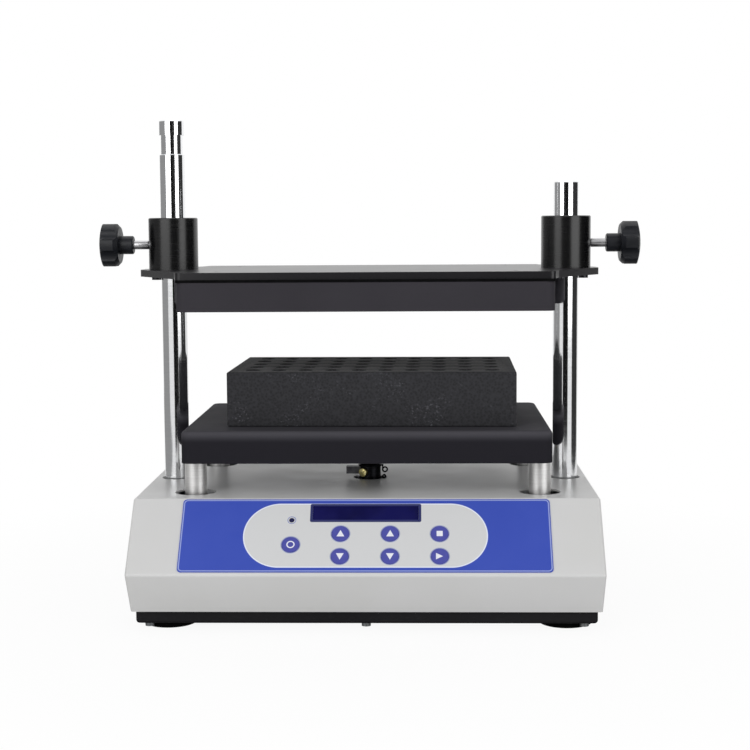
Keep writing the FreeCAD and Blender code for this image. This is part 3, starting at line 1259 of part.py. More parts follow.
def make_carrier_screws():
    screws = []
    reach = S.stand_tap - S.collar_head_high / 2
    head_radius = S.collar_head_dia / 2
    for tag, side, way in STAND_CORNERS:
        x = side * STAND_X
        y = POST_Y + way * STAND_Y
        low = S.carrier_bottom - S.collar_head_high
        head = cylinder("carrier_head_" + tag, head_radius, S.collar_head_high, x, y, low)
        shank = cylinder("carrier_shank_" + tag, S.collar_screw / 2, CARRIER_TOP + reach - low, x, y, low)
        screws.append(fused("carrier_screw_" + tag, [head, shank]))
        head = cylinder("support_head_" + tag, head_radius, S.collar_head_high, x, y, SUPPORT_TOP)
        shank = cylinder("support_shank_" + tag, S.collar_screw / 2, S.support_thick + reach, x, y,
                         SUPPORT_LOW - reach)
        screws.append(fused("support_screw_" + tag, [head, shank]))
    for x, y in HOUSING_SCREWS:
        tag = str(len(screws) + 1)
        head = cylinder("housing_head_" + tag, S.bolt_head / 2, S.bolt_head_high, x, POST_Y + y,
                        SUPPORT_TOP + HOUSING_FLANGE_THICK)
        shank = cylinder("housing_shank_" + tag, S.bolt_dia / 2, HOUSING_FLANGE_THICK + S.support_thick, x,
                         POST_Y + y, SUPPORT_LOW)
        screws.append(fused("housing_screw_" + tag, [head, shank]))
    return node(together("platform_screws_group", screws), "platform_screws")


def make_stands():
    for tag, side, way in STAND_CORNERS:
        stand = body(tag + "_stand_body")
        radius = S.stand_dia / 2
        bevel = S.stand_bevel
        bore = S.collar_screw / 2 + S.slip
        profile = outline(sketch(stand, "XZ_Plane", tag + "_stand_profile"), [
            (bore, CARRIER_TOP), (radius - bevel, CARRIER_TOP), (radius, CARRIER_TOP + bevel),
            (radius, SUPPORT_LOW - bevel), (radius - bevel, SUPPORT_LOW), (bore, SUPPORT_LOW),
            (bore, SUPPORT_LOW - S.stand_tap), (0, SUPPORT_LOW - S.stand_tap), (0, CARRIER_TOP + S.stand_tap),
            (bore, CARRIER_TOP + S.stand_tap)])
        revolved(stand, profile)
        put(stand, side * STAND_X, POST_Y + way * STAND_Y, 0)
        node(stand, tag + "_stand")


def make_support_plate():
    """Plate on the stands; four pillars on it carry the platform tray."""
    plate = body("support_body")
    inset = S.platform_sheet + S.seat
    half = S.platform_width / 2 - inset
    deep = S.platform_deep / 2 - inset
    face = rectangle(sketch(plate, "XY_Plane", "support_outline", SUPPORT_LOW), -half, half,
                     POST_Y - deep, POST_Y + deep)
    solid = pad(plate, face, S.support_thick)
    fillet(plate, solid, upright, S.platform_corner - S.platform_sheet)
    pillars = sketch(plate, "XY_Plane", "support_pillars", SUPPORT_TOP)
    for tag, side, way in STAND_CORNERS:
        circle(pillars, side * 0.6 * STAND_X, POST_Y + way * 0.7 * STAND_Y, S.pillar_dia / 2)
    pad(plate, pillars, PLATFORM_UNDER - SUPPORT_TOP)
    holes = sketch(plate, "XY_Plane", "support_holes", SUPPORT_LOW)
    for tag, side, way in STAND_CORNERS:
        circle(holes, side * STAND_X, POST_Y + way * STAND_Y, S.collar_screw / 2 + S.slip)
    for x, y in HOUSING_SCREWS:
        circle(holes, x, POST_Y + y, S.bolt_dia / 2 + S.slip)
    circle(holes, 0, POST_Y, S.housing_dia / 2 + S.slip)
    pocket(plate, holes, 4 * S.support_thick, middle=True)
    return node(plate, "support_plate")


def make_platform_tray():
    tray = body("platform_body")
    half = S.platform_width / 2
    deep = S.platform_deep / 2
    low = S.platform_top - S.platform_rim
    face = rectangle(sketch(tray, "XY_Plane", "platform_outline", low), -half, half, POST_Y - deep, POST_Y + deep)
    solid = pad(tray, face, S.platform_rim)
    solid = fillet(tray, solid, upright, S.platform_corner)
    solid = shelled(tray, solid, low, S.platform_sheet)
    solid = fillet(tray, solid, level_at(PLATFORM_UNDER), S.platform_bend - S.platform_sheet)
    fillet(tray, solid, level_at(S.platform_top), S.platform_bend)
    return node(tray, "platform_tray")


def make_bearing():
    housing = body("housing_body")
    outer = S.housing_dia / 2
    flange = S.housing_flange / 2
    race = S.bearing_outer / 2
    ledge = S.housing_bottom + S.bearing_wide / 2 + S.bearing_wide
    step = S.bearing_wide / 8
    profile = outline(sketch(housing, "XZ_Plane", "housing_profile"), [
        (race, S.housing_bottom), (outer - step, S.housing_bottom), (outer, S.housing_bottom + step),
        (outer, SUPPORT_TOP), (flange, SUPPORT_TOP), (flange, SUPPORT_TOP + HOUSING_FLANGE_THICK),
        (0, SUPPORT_TOP + HOUSING_FLANGE_THICK), (0, SUPPORT_TOP + step),
        (race - 3 * step, SUPPORT_TOP + step), (race - 3 * step, ledge), (race, ledge)])
    revolved(housing, profile)
    taps = sketch(housing, "XY_Plane", "housing_taps", SUPPORT_TOP)
    for x, y in HOUSING_SCREWS:
        circle(taps, x, y, S.bolt_dia / 2 + S.slip)
    pocket(housing, taps, 4 * HOUSING_FLANGE_THICK, middle=True)
    node(put(housing, 0, POST_Y, 0), "bearing_housing")

    bearing = body("bearing_body")
    inner = S.pin_dia / 2
    middle = (inner + race) / 2
    under = ledge - S.bearing_wide
    face = outline(sketch(bearing, "XZ_Plane", "bearing_profile"), [
        (inner, under), (middle - 2 * step, under), (middle - 2 * step, under + step),
        (middle + 2 * step, under + step), (middle + 2 * step, under), (race, under), (race, ledge), (inner, ledge)])
    revolved(bearing, face)
    return node(put(bearing, 0, POST_Y, 0), "orbit_bearing")


def make_posts():
    radius = S.post_dia / 2
    spigot = S.post_spigot / 2
    bevel = S.stand_bevel
    low = S.carrier_bottom - S.nut_high - S.spigot_proud
    start = [(0, low), (spigot, low), (spigot, CARRIER_TOP), (radius, CARRIER_TOP)]
    groove = S.groove_dia / 2
    left = body("left_post_body")
    profile = outline(sketch(left, "XZ_Plane", "left_post_profile"), start + [
        (radius, S.groove_low - bevel), (groove, S.groove_low), (groove, S.groove_high), (radius, S.groove_high),
        (radius, S.left_post_top - bevel), (radius - bevel, S.left_post_top), (0, S.left_post_top)])
    revolved(left, profile)
    node(put(left, -S.post_x, POST_Y, 0), "left_post")
    right = body("right_post_body")
    profile = outline(sketch(right, "XZ_Plane", "right_post_profile"), start + [
        (radius, S.right_post_top - bevel), (radius - bevel, S.right_post_top), (0, S.right_post_top)])
    revolved(right, profile)
    node(put(right, S.post_x, POST_Y, 0), "right_post")
    nuts = []
    for side in (-1, 1):
        tag = str(len(nuts) + 1)
        z = S.carrier_bottom - S.nut_high
        blank = hexagon("nut_blank_" + tag, S.nut_across, S.nut_high, side * S.post_x, POST_Y, z)
        bore = cylinder("nut_bore_" + tag, S.post_spigot / 2 + S.fit, 2 * S.nut_high, side * S.post_x, POST_Y,
                        z - S.nut_high / 2)
        nuts.append(cut("nut_" + tag, blank, bore))
    return node(together("post_nuts_group", nuts), "post_nuts")


def make_foam_rack():
    """Foam block with rows of blind wells for tubes."""
    rack = body("rack_body")
    half = S.rack_width / 2
    deep = S.rack_deep / 2
    face = rectangle(sketch(rack, "XY_Plane", "rack_outline"), -half, half, -deep, deep)
    pad(rack, face, S.rack_high)
    first = circle(sketch(rack, "XY_Plane", "rack_well", S.rack_high), -(WELL_COLUMNS - 1) / 2 * S.well_pitch_x,
                   -(WELL_ROWS - 1) / 2 * S.well_pitch_y, S.well_dia / 2)
    well = pocket(rack, first, S.well_deep)
    across = row_pattern(rack, well, "X_Axis", WELL_COLUMNS, S.well_pitch_x)
    axis = [item for item in rack.Origin.OriginFeatures if item.Role == "Y_Axis"][0]
    across.Direction2 = (axis, [""])
    across.Occurrences2 = WELL_ROWS
    bind(across, "Length2", S.well_pitch_y * (WELL_ROWS - 1))
    put(rack, S.rack_shift, POST_Y - S.rack_forward, S.platform_top + S.seat, Z_AXIS, -S.rack_turn)
    return node(rack, "foam_rack")


# Clamp head

def make_top_plate():
    plate = body("plate_body")
    right = [(S.plate_half, -S.plate_deep), (S.shoulder_half, -S.shoulder_deep), (S.ear_half, -S.ear_end),
             (S.ear_half, S.ear_end), (S.shoulder_half, S.shoulder_deep), (S.plate_half, S.plate_deep)]
    left = [(-x, y) for x, y in reversed(right)]
    face = outline(sketch(plate, "XY_Plane", "plate_outline", PLATE_UNDER), right + left)
    solid = pad(plate, face, S.plate_thick)
    fillet(plate, solid, upright, S.plate_corner)
    holes = sketch(plate, "XY_Plane", "plate_holes", PLATE_UNDER)
    for side in (-1, 1):
        circle(holes, side * S.post_x, 0, S.post_dia / 2 + 4 * S.slip)
        for x, y in collar_screw_spots(side):
            circle(holes, x, y, S.collar_screw / 2 + S.slip)
    for x, y in TRAY_SCREWS:
        circle(holes, x, y, S.bolt_dia / 2 + S.slip)
    pocket(plate, holes, 4 * S.plate_thick, middle=True)
    sunk = sketch(plate, "XY_Plane", "plate_counterbores", S.plate_top)
    for x, y in TRAY_SCREWS:
        circle(sunk, x, y, S.bolt_head / 2 + S.slip)
    pocket(plate, sunk, S.bolt_head_high)
    return node(put(plate, 0, POST_Y, 0), "top_plate")


def collar_screw_spots(side):
    """Three screws round a post, one towards the ear's end."""
    spots = []
    for index in range(3):
        angle = math.radians(120 * index)
        spots.append((side * (S.post_x + S.collar_screw_circle * math.cos(angle)),
                      S.collar_screw_circle * math.sin(angle)))
    return spots


def make_collars():
    for name, side in (("left_collar", -1), ("right_collar", 1)):
        collar = body(name + "_body")
        ring = sketch(collar, "XY_Plane", name + "_ring", S.plate_top)
        circle(ring, 0, 0, S.collar_dia / 2)
        solid = pad(collar, ring, S.collar_high)
        chamfer(collar, solid, level_at(S.plate_top + S.collar_high), S.stand_bevel)
        bore = circle(sketch(collar, "XY_Plane", name + "_bore", S.plate_top), 0, 0, S.post_dia / 2 + S.slip)
        pocket(collar, bore, 4 * S.collar_high, middle=True)
        taps = sketch(collar, "XY_Plane", name + "_taps", S.plate_top)
        for x, y in collar_screw_spots(side):
            circle(taps, x - side * S.post_x, y, S.collar_screw / 2 + S.slip)
        pocket(collar, taps, S.collar_screw_deep, back=True)
        thread = circle(sketch(collar, "YZ_Plane", name + "_stud_hole"), 0, STUD_Z, S.stud_dia / 2 + STUD_FIT)
        pocket(collar, thread, S.collar_dia, back=side > 0)
        node(put(collar, side * S.post_x, POST_Y, 0), name)


def make_head_screws():
    screws = []
    for side in (-1, 1):
        for x, y in collar_screw_spots(side):
            tag = str(len(screws) + 1)
            low = PLATE_UNDER - S.collar_head_high
            head = cylinder("collar_head_" + tag, S.collar_head_dia / 2, S.collar_head_high, x, POST_Y + y, low)
            shank = cylinder("collar_shank_" + tag, S.collar_screw / 2, S.collar_head_high + S.plate_thick
                             + 0.8 * S.collar_screw_deep, x, POST_Y + y, low)
            blank = fused("collar_screw_blank_" + tag, [head, shank])
            socket = hexagon("collar_socket_" + tag, 0.9 * S.collar_screw, S.collar_head_high / 2, x, POST_Y + y, low)
            screws.append(cut("collar_screw_" + tag, blank, socket))
    node(together("collar_screws_group", screws), "collar_screws")
    screws = []
    for x, y in TRAY_SCREWS:
        tag = str(len(screws) + 1)
        head = cylinder("tray_screw_head_" + tag, S.bolt_head / 2, S.bolt_head_high, x, POST_Y + y,
                        S.plate_top - S.bolt_head_high)
        shank = cylinder("tray_screw_shank_" + tag, S.bolt_dia / 2, S.plate_thick, x, POST_Y + y,
                         PLATE_UNDER - S.platform_sheet)
        blank = fused("tray_screw_blank_" + tag, [head, shank])
        socket = hexagon("tray_screw_socket_" + tag, S.bolt_head / 2, 2 * S.bolt_socket_deep, x, POST_Y + y,
                         S.plate_top - S.bolt_socket_deep)
        screws.append(cut("tray_screw_" + tag, blank, socket))
    return node(together("tray_screws_group", screws), "tray_screws")


def make_pressure_tray():
    tray = body("pressure_body")
    half = S.pad_tray_width / 2
    deep = S.pad_tray_deep / 2
    low = PLATE_UNDER - S.pad_tray_high
    face = rectangle(sketch(tray, "XY_Plane", "pressure_outline", low), -half, half, -deep, deep)
    solid = pad(tray, face, S.pad_tray_high)
    solid = fillet(tray, solid, upright, S.platform_corner)
    solid = shelled(tray, solid, low, S.platform_sheet)
    solid = fillet(tray, solid, level_at(PLATE_UNDER - S.platform_sheet), S.platform_bend - S.platform_sheet)
    fillet(tray, solid, level_at(PLATE_UNDER), S.platform_bend)
    holes = sketch(tray, "XY_Plane", "pressure_holes", PLATE_UNDER)
    for x, y in TRAY_SCREWS:
        circle(holes, x, y, S.bolt_dia / 2 + S.slip)
    pocket(tray, holes, 2 * S.platform_sheet)
    node(put(tray, 0, POST_Y, 0), "pressure_tray")

    cushion = body("foam_pad_body")
    inset = S.platform_sheet + S.seat
    low = low + S.pad_recess
    high = PLATE_UNDER - S.platform_sheet - S.seat
    face = rectangle(sketch(cushion, "XY_Plane", "foam_pad_outline", low), -half + inset, half - inset,
                     -deep + inset, deep - inset)
    solid = pad(cushion, face, high - low)
    solid = fillet(cushion, solid, upright, S.platform_corner - S.platform_sheet)
    fillet(cushion, solid, level_at(high), S.platform_bend)
    return node(put(cushion, 0, POST_Y, 0), "foam_pad")


def make_clamps():
    """Threaded studs and the lobed knobs that turn them."""
    for name, side in (("left", -1), ("right", 1)):
        tip = S.post_dia / 2 + S.slip
        stud = body(name + "_stud_body")
        radius = S.stud_dia / 2
        bevel = S.stand_bevel
        profile = outline(sketch(stud, "XZ_Plane", name + "_stud_profile"), [
            (0, 0), (radius - bevel, 0), (radius, bevel), (radius, S.stud_long), (0, S.stud_long)])
        revolved(stud, profile)
        node(put(stud, side * (S.post_x + tip), POST_Y, STUD_Z, Y_AXIS, 90 * side), name + "_clamp_stud")

        knob = body(name + "_knob_body")
        head = S.knob_dia / 2
        hub = S.knob_hub / 2
        bore = radius + STUD_FIT
        blind = S.stud_long - (S.knob_reach - tip) + S.seat
        crown = S.knob_crown
        back = S.knob_hub_long
        profile = outline(sketch(knob, "XZ_Plane", name + "_knob_profile"), [
            (bore, 0), (hub - bevel, 0), (hub, bevel), (hub, back), (head - S.knob_taper, back),
            (head, back + S.knob_taper), (head, S.knob_long - crown, (head * head + crown * crown) / (2 * crown), -1),
            (0, S.knob_long), (0, blind), (bore, blind)])
        turned = revolved(knob, profile)
        fillet(knob, turned, level_at(S.knob_long - crown), S.lobe_round)
        scallop = circle(sketch(knob, "XY_Plane", name + "_scallop", S.knob_long), head + S.scallop_out, 0,
                         S.scallop_dia / 2)
        notch = pocket(knob, scallop, S.knob_long - back)
        lobed = ring_pattern(knob, notch, S.knob_lobes)
        fillet(knob, lobed, lobe_edge, S.lobe_round)
        put(knob, side * (S.post_x + S.knob_reach), POST_Y, STUD_Z, Y_AXIS, 90 * side)
        node(knob, name + "_knob")


def lobe_edge(edge):
    """True for a straight edge between a knob's lobe and the hollow beside it."""
    box = edge.BoundBox
    middle = edge.CenterOfMass
    level = abs(box.ZLength - number(S.knob_long - S.knob_hub_long - S.knob_taper - S.knob_crown)) < 2
    return box.XLength < 1e-3 and box.YLength < 1e-3 and level and math.hypot(middle.x, middle.y) > 15


def build():
    make_bottom_tray()
    make_chassis()
    make_feet()
    make_chassis_bolts()
    make_cover_screws()
    make_top_cover()
    make_control_overlay()
    make_display()
    make_control_board()
    make_keys()
    make_lamp()
    make_power_supply()
    make_bridge()
    make_motor()
    make_mount_screws()
    make_isolators()
    make_inlet()
    make_fuse_drawer()
    make_switch()
    make_drive()
    make_carrier()
    make_carrier_screws()
    make_stands()
    make_support_plate()
    make_platform_tray()
    make_bearing()
    make_posts()
    make_foam_rack()
    make_top_plate()
    make_collars()
    make_head_screws()
    make_pressure_tray()
    make_clamps()
    DOC.recompute()


def check():
    """Stop before writing if any object failed or any sub-part is not a sound solid."""
    for thing in DOC.Objects:
        if "Invalid" in thing.State or "Error" in thing.State:
            raise RuntimeError(thing.Name + " failed: " + thing.getStatusString())
    for thing in NODES:
        shape = thing.Shape
        if shape.isNull() or not shape.isValid() or not shape.Solids:
            raise RuntimeError(thing.Label + " is not a sound solid")


def write():
    os.makedirs("parts", exist_ok=True)
    for thing in NODES:
        thing.Shape.exportStep("parts/" + thing.Label + ".step")


build()
check()
write()
print(len(NODES), "sub-parts written")
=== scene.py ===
import json
import math

import bpy
from mathutils import Matrix, Vector


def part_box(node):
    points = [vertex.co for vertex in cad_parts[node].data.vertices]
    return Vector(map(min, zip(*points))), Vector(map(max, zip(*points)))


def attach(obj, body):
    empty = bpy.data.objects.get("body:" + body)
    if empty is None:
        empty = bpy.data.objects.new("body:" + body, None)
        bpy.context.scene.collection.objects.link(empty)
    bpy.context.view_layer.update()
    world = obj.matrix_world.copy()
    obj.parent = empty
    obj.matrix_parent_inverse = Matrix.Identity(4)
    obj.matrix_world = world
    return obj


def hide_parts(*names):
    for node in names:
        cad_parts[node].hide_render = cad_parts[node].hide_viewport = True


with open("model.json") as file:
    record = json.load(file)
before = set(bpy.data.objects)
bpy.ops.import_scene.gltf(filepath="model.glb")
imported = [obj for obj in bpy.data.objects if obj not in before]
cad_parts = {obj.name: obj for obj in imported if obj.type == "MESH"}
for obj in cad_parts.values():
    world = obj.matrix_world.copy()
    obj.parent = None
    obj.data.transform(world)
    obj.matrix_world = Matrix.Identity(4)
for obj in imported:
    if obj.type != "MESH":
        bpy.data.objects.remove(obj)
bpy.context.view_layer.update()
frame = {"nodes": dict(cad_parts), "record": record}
MM = 0.001
UM = 0.000001
PER_METRE = 1000.0  # millimetres in a metre

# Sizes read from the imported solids, in metres.
RACK_LOW, RACK_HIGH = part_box("foam_rack")
PAD_LOW, PAD_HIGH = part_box("foam_pad")

# The wells of the rack, in millimetres.
COLUMNS, COLUMN_PITCH = 10, 22.9
ROWS, ROW_PITCH = 5, 29
WELL_RADIUS = 6.25

# The sloped panel: the middle of its upper edge, and its direction up the slope.
PANEL_TOP = Vector((0, -91.0, 108.2)) * MM
PANEL_UP = Vector((0, 49.6, 54.7)).normalized()

# Places on the panel, in millimetres: across from its middle, and down from its upper edge.
SELECT_KEY = (-61, 45.5)
SPEED_X, TIME_X, RUN_X = -20.4, 20.4, 61
UPPER_ROW, LOWER_ROW = 35.1, 56.4
KEYS = [SELECT_KEY] + [(x, row) for x in (SPEED_X, TIME_X, RUN_X) for row in (UPPER_ROW, LOWER_ROW)]
LAMP = (-61, 22)

# Ways in which a printed triangle points.
UP, DOWN, RIGHT = 1, -1, 0


# Materials

def linear(code):
    """A linear colour from an sRGB hex value."""
    values = [int(code[i:i + 2], 16) / 255 for i in (1, 3, 5)]
    return [v / 12.92 if v <= 0.04045 else ((v + 0.055) / 1.055) ** 2.4 for v in values] + [1.0]


def add(tree, kind, inputs=None, **settings):
    """Add one node with its settings, values and links."""
    made = tree.nodes.new(kind)
    for name, value in settings.items():
        setattr(made, name, value)
    for name, value in (inputs or {}).items():
        if isinstance(value, bpy.types.NodeSocket):
            tree.links.new(value, made.inputs[name])
        else:
            made.inputs[name].default_value = value
    return made


def blank(name):
    """A new material with an empty node tree."""
    material = bpy.data.materials.new(name)
    material.use_nodes = True
    material.node_tree.nodes.clear()
    return material, material.node_tree


def begin(name, **sockets):
    """A new material with its shader; sockets are the shader's constant values."""
    material, tree = blank(name)
    values = {key.replace("_", " "): value for key, value in sockets.items()}
    shader = add(tree, "ShaderNodeBsdfPrincipled", values)
    add(tree, "ShaderNodeOutputMaterial", {"Surface": shader.outputs["BSDF"]})
    return material, tree, shader


def place(tree):
    """The shaded point in the piece's own coordinates, in metres."""
    return add(tree, "ShaderNodeTexCoord").outputs["Object"]


def grain(tree, size, detail=2.0, stretch=(1, 1, 1)):
    """Noise whose features are about size metres across, stretched along some axes."""
    scaled = add(tree, "ShaderNodeMapping", {"Vector": place(tree), "Scale": stretch})
    noise = add(tree, "ShaderNodeTexNoise",
                {"Vector": scaled.outputs["Vector"], "Scale": 1 / size, "Detail": detail})
    return noise.outputs["Fac"]


def blend(tree, factor, first, second):
    """The colour between two others, each an sRGB hex value or the colour of another node."""
    first, second = [linear(tone) if isinstance(tone, str) else tone for tone in (first, second)]
    mix = add(tree, "ShaderNodeMix", {"Factor": factor, "A": first, "B": second}, data_type="RGBA")
    return mix.outputs["Result"]


def tint(tree, shader, first, second, factor):
    """Colour that drifts between two tones."""
    ramp = add(tree, "ShaderNodeMapRange", {"Value": factor, "From Min": 0.35, "From Max": 0.65})
    colour = blend(tree, ramp.outputs["Result"], first, second)
    tree.links.new(colour, shader.inputs["Base Color"])


def vary(tree, shader, low, high, factor):
    """Roughness that drifts between two values."""
    spread = add(tree, "ShaderNodeMapRange", {"Value": factor, "From Min": 0.3, "From Max": 0.7,
                                              "To Min": low, "To Max": high})
    tree.links.new(spread.outputs["Result"], shader.inputs["Roughness"])


def relief(tree, shader, height, depth, strength=1.0, under=None):
    """Bump of a depth in metres; under is a coarser bump that it lies on."""
    inputs = {"Height": height, "Distance": depth, "Strength": strength}
    if under is not None:
        inputs["Normal"] = under
    bump = add(tree, "ShaderNodeBump", inputs)
    tree.links.new(bump.outputs["Normal"], shader.inputs["Normal"])
    return bump.outputs["Normal"]


def powder_coat(name, light, dark, low, high, peel, depth, level=0.5):
    """Sprayed and baked powder: an even film whose slight orange peel softens each reflection."""
    material, tree, shader = begin(name, IOR=1.5, Specular_IOR_Level=level)
    tint(tree, shader, dark, light, grain(tree, 90 * MM))
    vary(tree, shader, low, high, grain(tree, 30 * MM))
    relief(tree, shader, grain(tree, peel, 3.0), depth)
    return material


def painted_light_coat(name, light, dark, node):
    """Black powder coat of a tray with painted light: its upper side and bend are painted lighter,
    with a cloudy spread, where light and reflections fall on them.
    """
    material, tree, shader = begin(name, IOR=1.5, Specular_IOR_Level=0.04)
    height = add(tree, "ShaderNodeSeparateXYZ", {0: place(tree)}).outputs["Z"]
    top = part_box(node)[1].z
    # painted light: lighter towards the top over the tray's upper 10 mm, strongest at its bend
    painted_top_light = add(tree, "ShaderNodeMapRange",
               {"Value": height, "From Min": top - 10 * MM, "From Max": top - 1 * MM},
               interpolation_type="SMOOTHSTEP")
    cloud = add(tree, "ShaderNodeMapRange",
                {"Value": grain(tree, 50 * MM, 3.0), "To Min": 0.85, "To Max": 1.1})
    share = add(tree, "ShaderNodeMath", {0: painted_top_light.outputs["Result"], 1: cloud.outputs["Result"]},
                operation="MULTIPLY", use_clamp=True)
    tree.links.new(blend(tree, share.outputs[0], dark, light), shader.inputs["Base Color"])
    vary(tree, shader, 0.64, 0.72, grain(tree, 30 * MM))
    relief(tree, shader, grain(tree, 1.6 * MM, 3.0), 40 * UM)
    return material


def turned_metal(name, light, dark, low, high, axis, depth=6 * UM, spacing=0.6 * MM):
    """Bar turned on a lathe: fine rings round its axis that draw the highlight out along it."""
    material, tree, shader = begin(name, Metallic=1.0)
    stretch = [0.04, 0.04, 0.04]
    stretch["XYZ".index(axis)] = 1.0
    rings = grain(tree, spacing, 4.0, stretch)
    tint(tree, shader, dark, light, rings)
    vary(tree, shader, low, high, rings)
    relief(tree, shader, rings, depth)
    return material


def plated_metal(name, light, dark, low, high):
    """Rolled or pressed steel under a thin plating: small cloudy spots and a satin shine."""
    material, tree, shader = begin(name, Metallic=1.0)
    tint(tree, shader, dark, light, grain(tree, 4 * MM, 5.0))
    vary(tree, shader, low, high, grain(tree, 1.5 * MM, 3.0))
    relief(tree, shader, grain(tree, 1.2 * MM, 3.0), 20 * UM)
    return material


def moulded_plastic(name, light, dark, low, high, level):
    """Injection-moulded plastic: a fine sparked grain from the mould, and gloss that wanders."""
    material, tree, shader = begin(name, IOR=1.5, Specular_IOR_Level=level)
    tint(tree, shader, dark, light, grain(tree, 15 * MM))
    vary(tree, shader, low, high, grain(tree, 6 * MM))
    relief(tree, shader, grain(tree, 1.1 * MM), 30 * UM)
    return material


def anodised(name, light, dark, low, high):
    """Aluminium turned, then anodised and dyed black: a glassy oxide over fine rings."""
    material, tree, shader = begin(name, IOR=1.77, Specular_IOR_Level=0.27)
    rings = grain(tree, 0.9 * MM, stretch=(0.04, 0.04, 1.0))
    tint(tree, shader, dark, light, rings)
    vary(tree, shader, low, high, rings)
    relief(tree, shader, rings, 0.05 * UM)
    return material


def chrome(name):
    """Hard chrome on a ground bar: a mirror with faint rings left by the grinding."""
    material, tree, shader = begin(name, Metallic=1.0)
    rings = grain(tree, 1.2 * MM, stretch=(0.05, 0.05, 1.0))
    tint(tree, shader, "#EEEFF1", "#F3F4F5", rings)
    vary(tree, shader, 0.08, 0.11, rings)
    relief(tree, shader, rings, 0.05 * UM)
    return material


def foam(name):
    """Closed-cell foam cut by a saw: small open cells, torn light spots and no gloss."""
    material, tree, shader = begin(name, IOR=1.45, Specular_IOR_Level=0.2,
                                   Sheen_Weight=0.08, Sheen_Roughness=0.5)
    cells = add(tree, "ShaderNodeTexVoronoi",
                {"Vector": place(tree), "Scale": 1 / (2.2 * MM), "Randomness": 1.0})
    edge = add(tree, "ShaderNodeMapRange",
               {"Value": cells.outputs["Distance"], "From Min": 0.1, "From Max": 0.75})
    patch = add(tree, "ShaderNodeMapRange",
                {"Value": grain(tree, 22 * MM, 3.0), "From Min": 0.47, "From Max": 0.66})
    torn = add(tree, "ShaderNodeMapRange",
               {"Value": grain(tree, 1.8 * MM), "From Min": 0.56, "From Max": 0.7})
    spark = add(tree, "ShaderNodeMath", {0: patch.outputs[0], 1: torn.outputs[0]},
                operation="MULTIPLY")
    plain = blend(tree, edge.outputs[0], "#28282A", "#343437")
    colour = blend(tree, spark.outputs[0], plain, "#525257")
    tree.links.new(colour, shader.inputs["Base Color"])
    vary(tree, shader, 0.86, 0.98, grain(tree, 5 * MM))
    coarse = relief(tree, shader, grain(tree, 12 * MM), 600 * UM, 0.5)
    relief(tree, shader, edge.outputs["Result"], 400 * UM, 0.7, coarse)
    return material


def black_rubber(name):
    """Moulded rubber: nearly black and matte, with a faint uneven grain."""
    material, tree, shader = begin(name, IOR=1.5, Specular_IOR_Level=0.06)
    tint(tree, shader, "#030304", "#080809", grain(tree, 6 * MM, 4.0))
    vary(tree, shader, 0.62, 0.85, grain(tree, 3 * MM))
    relief(tree, shader, grain(tree, 1.5 * MM), 60 * UM)
    return material


def panel_place(tree):
    """Millimetres on the sloped panel: across, and down the slope from its upper edge."""
    spot = place(tree)
    across = add(tree, "ShaderNodeVectorMath", {0: spot, 1: (PER_METRE, 0, 0)},
                 operation="DOT_PRODUCT")
    down = add(tree, "ShaderNodeVectorMath", {0: spot, 1: PANEL_UP * -PER_METRE},
               operation="DOT_PRODUCT")
    start = -PER_METRE * PANEL_UP.dot(PANEL_TOP)
    shifted = add(tree, "ShaderNodeMath", {0: down.outputs["Value"], 1: start},
                  operation="SUBTRACT")
    joined = add(tree, "ShaderNodeCombineXYZ",
                 {"X": across.outputs["Value"], "Y": shifted.outputs["Value"]})
    return joined.outputs[0]


def distance(tree, spot, middle, half, radius):
    """Millimetres from the outline of a rounded rectangle, less than nothing inside it."""
    off = add(tree, "ShaderNodeVectorMath", {0: spot, 1: (middle[0], middle[1], 0)},
              operation="SUBTRACT")
    folded = add(tree, "ShaderNodeVectorMath", {0: off.outputs["Vector"]}, operation="ABSOLUTE")
    inner = add(tree, "ShaderNodeVectorMath",
                {0: folded.outputs["Vector"], 1: (half[0] - radius, half[1] - radius, 0)},
                operation="SUBTRACT")
    beyond = add(tree, "ShaderNodeVectorMath", {0: inner.outputs["Vector"], 1: (0, 0, 0)},
                 operation="MAXIMUM")
    reach = add(tree, "ShaderNodeVectorMath", {0: beyond.outputs["Vector"]}, operation="LENGTH")
    gap = add(tree, "ShaderNodeMath", {0: reach.outputs["Value"], 1: radius}, operation="SUBTRACT")
    return gap.outputs[0]


def round_distance(tree, spot, middle, radius):
    """Millimetres from a circle: a square whose corners are rounded to within 0.01 mm of it."""
    return distance(tree, spot, middle, (radius, radius), radius - 0.01)


def inside(tree, gap):
    """One where a distance is below nothing, with the soft edge that ink has."""
    soft = 0.12
    step = add(tree, "ShaderNodeMapRange", {"Value": gap, "From Min": soft, "From Max": -soft})
    return step.outputs["Result"]


def line(tree, gap, width):
    """One on a line of a width along an outline."""
    spread = add(tree, "ShaderNodeMath", {0: gap}, operation="ABSOLUTE")
    thin = add(tree, "ShaderNodeMath", {0: spread.outputs[0], 1: width / 2}, operation="SUBTRACT")
    return inside(tree, thin.outputs[0])


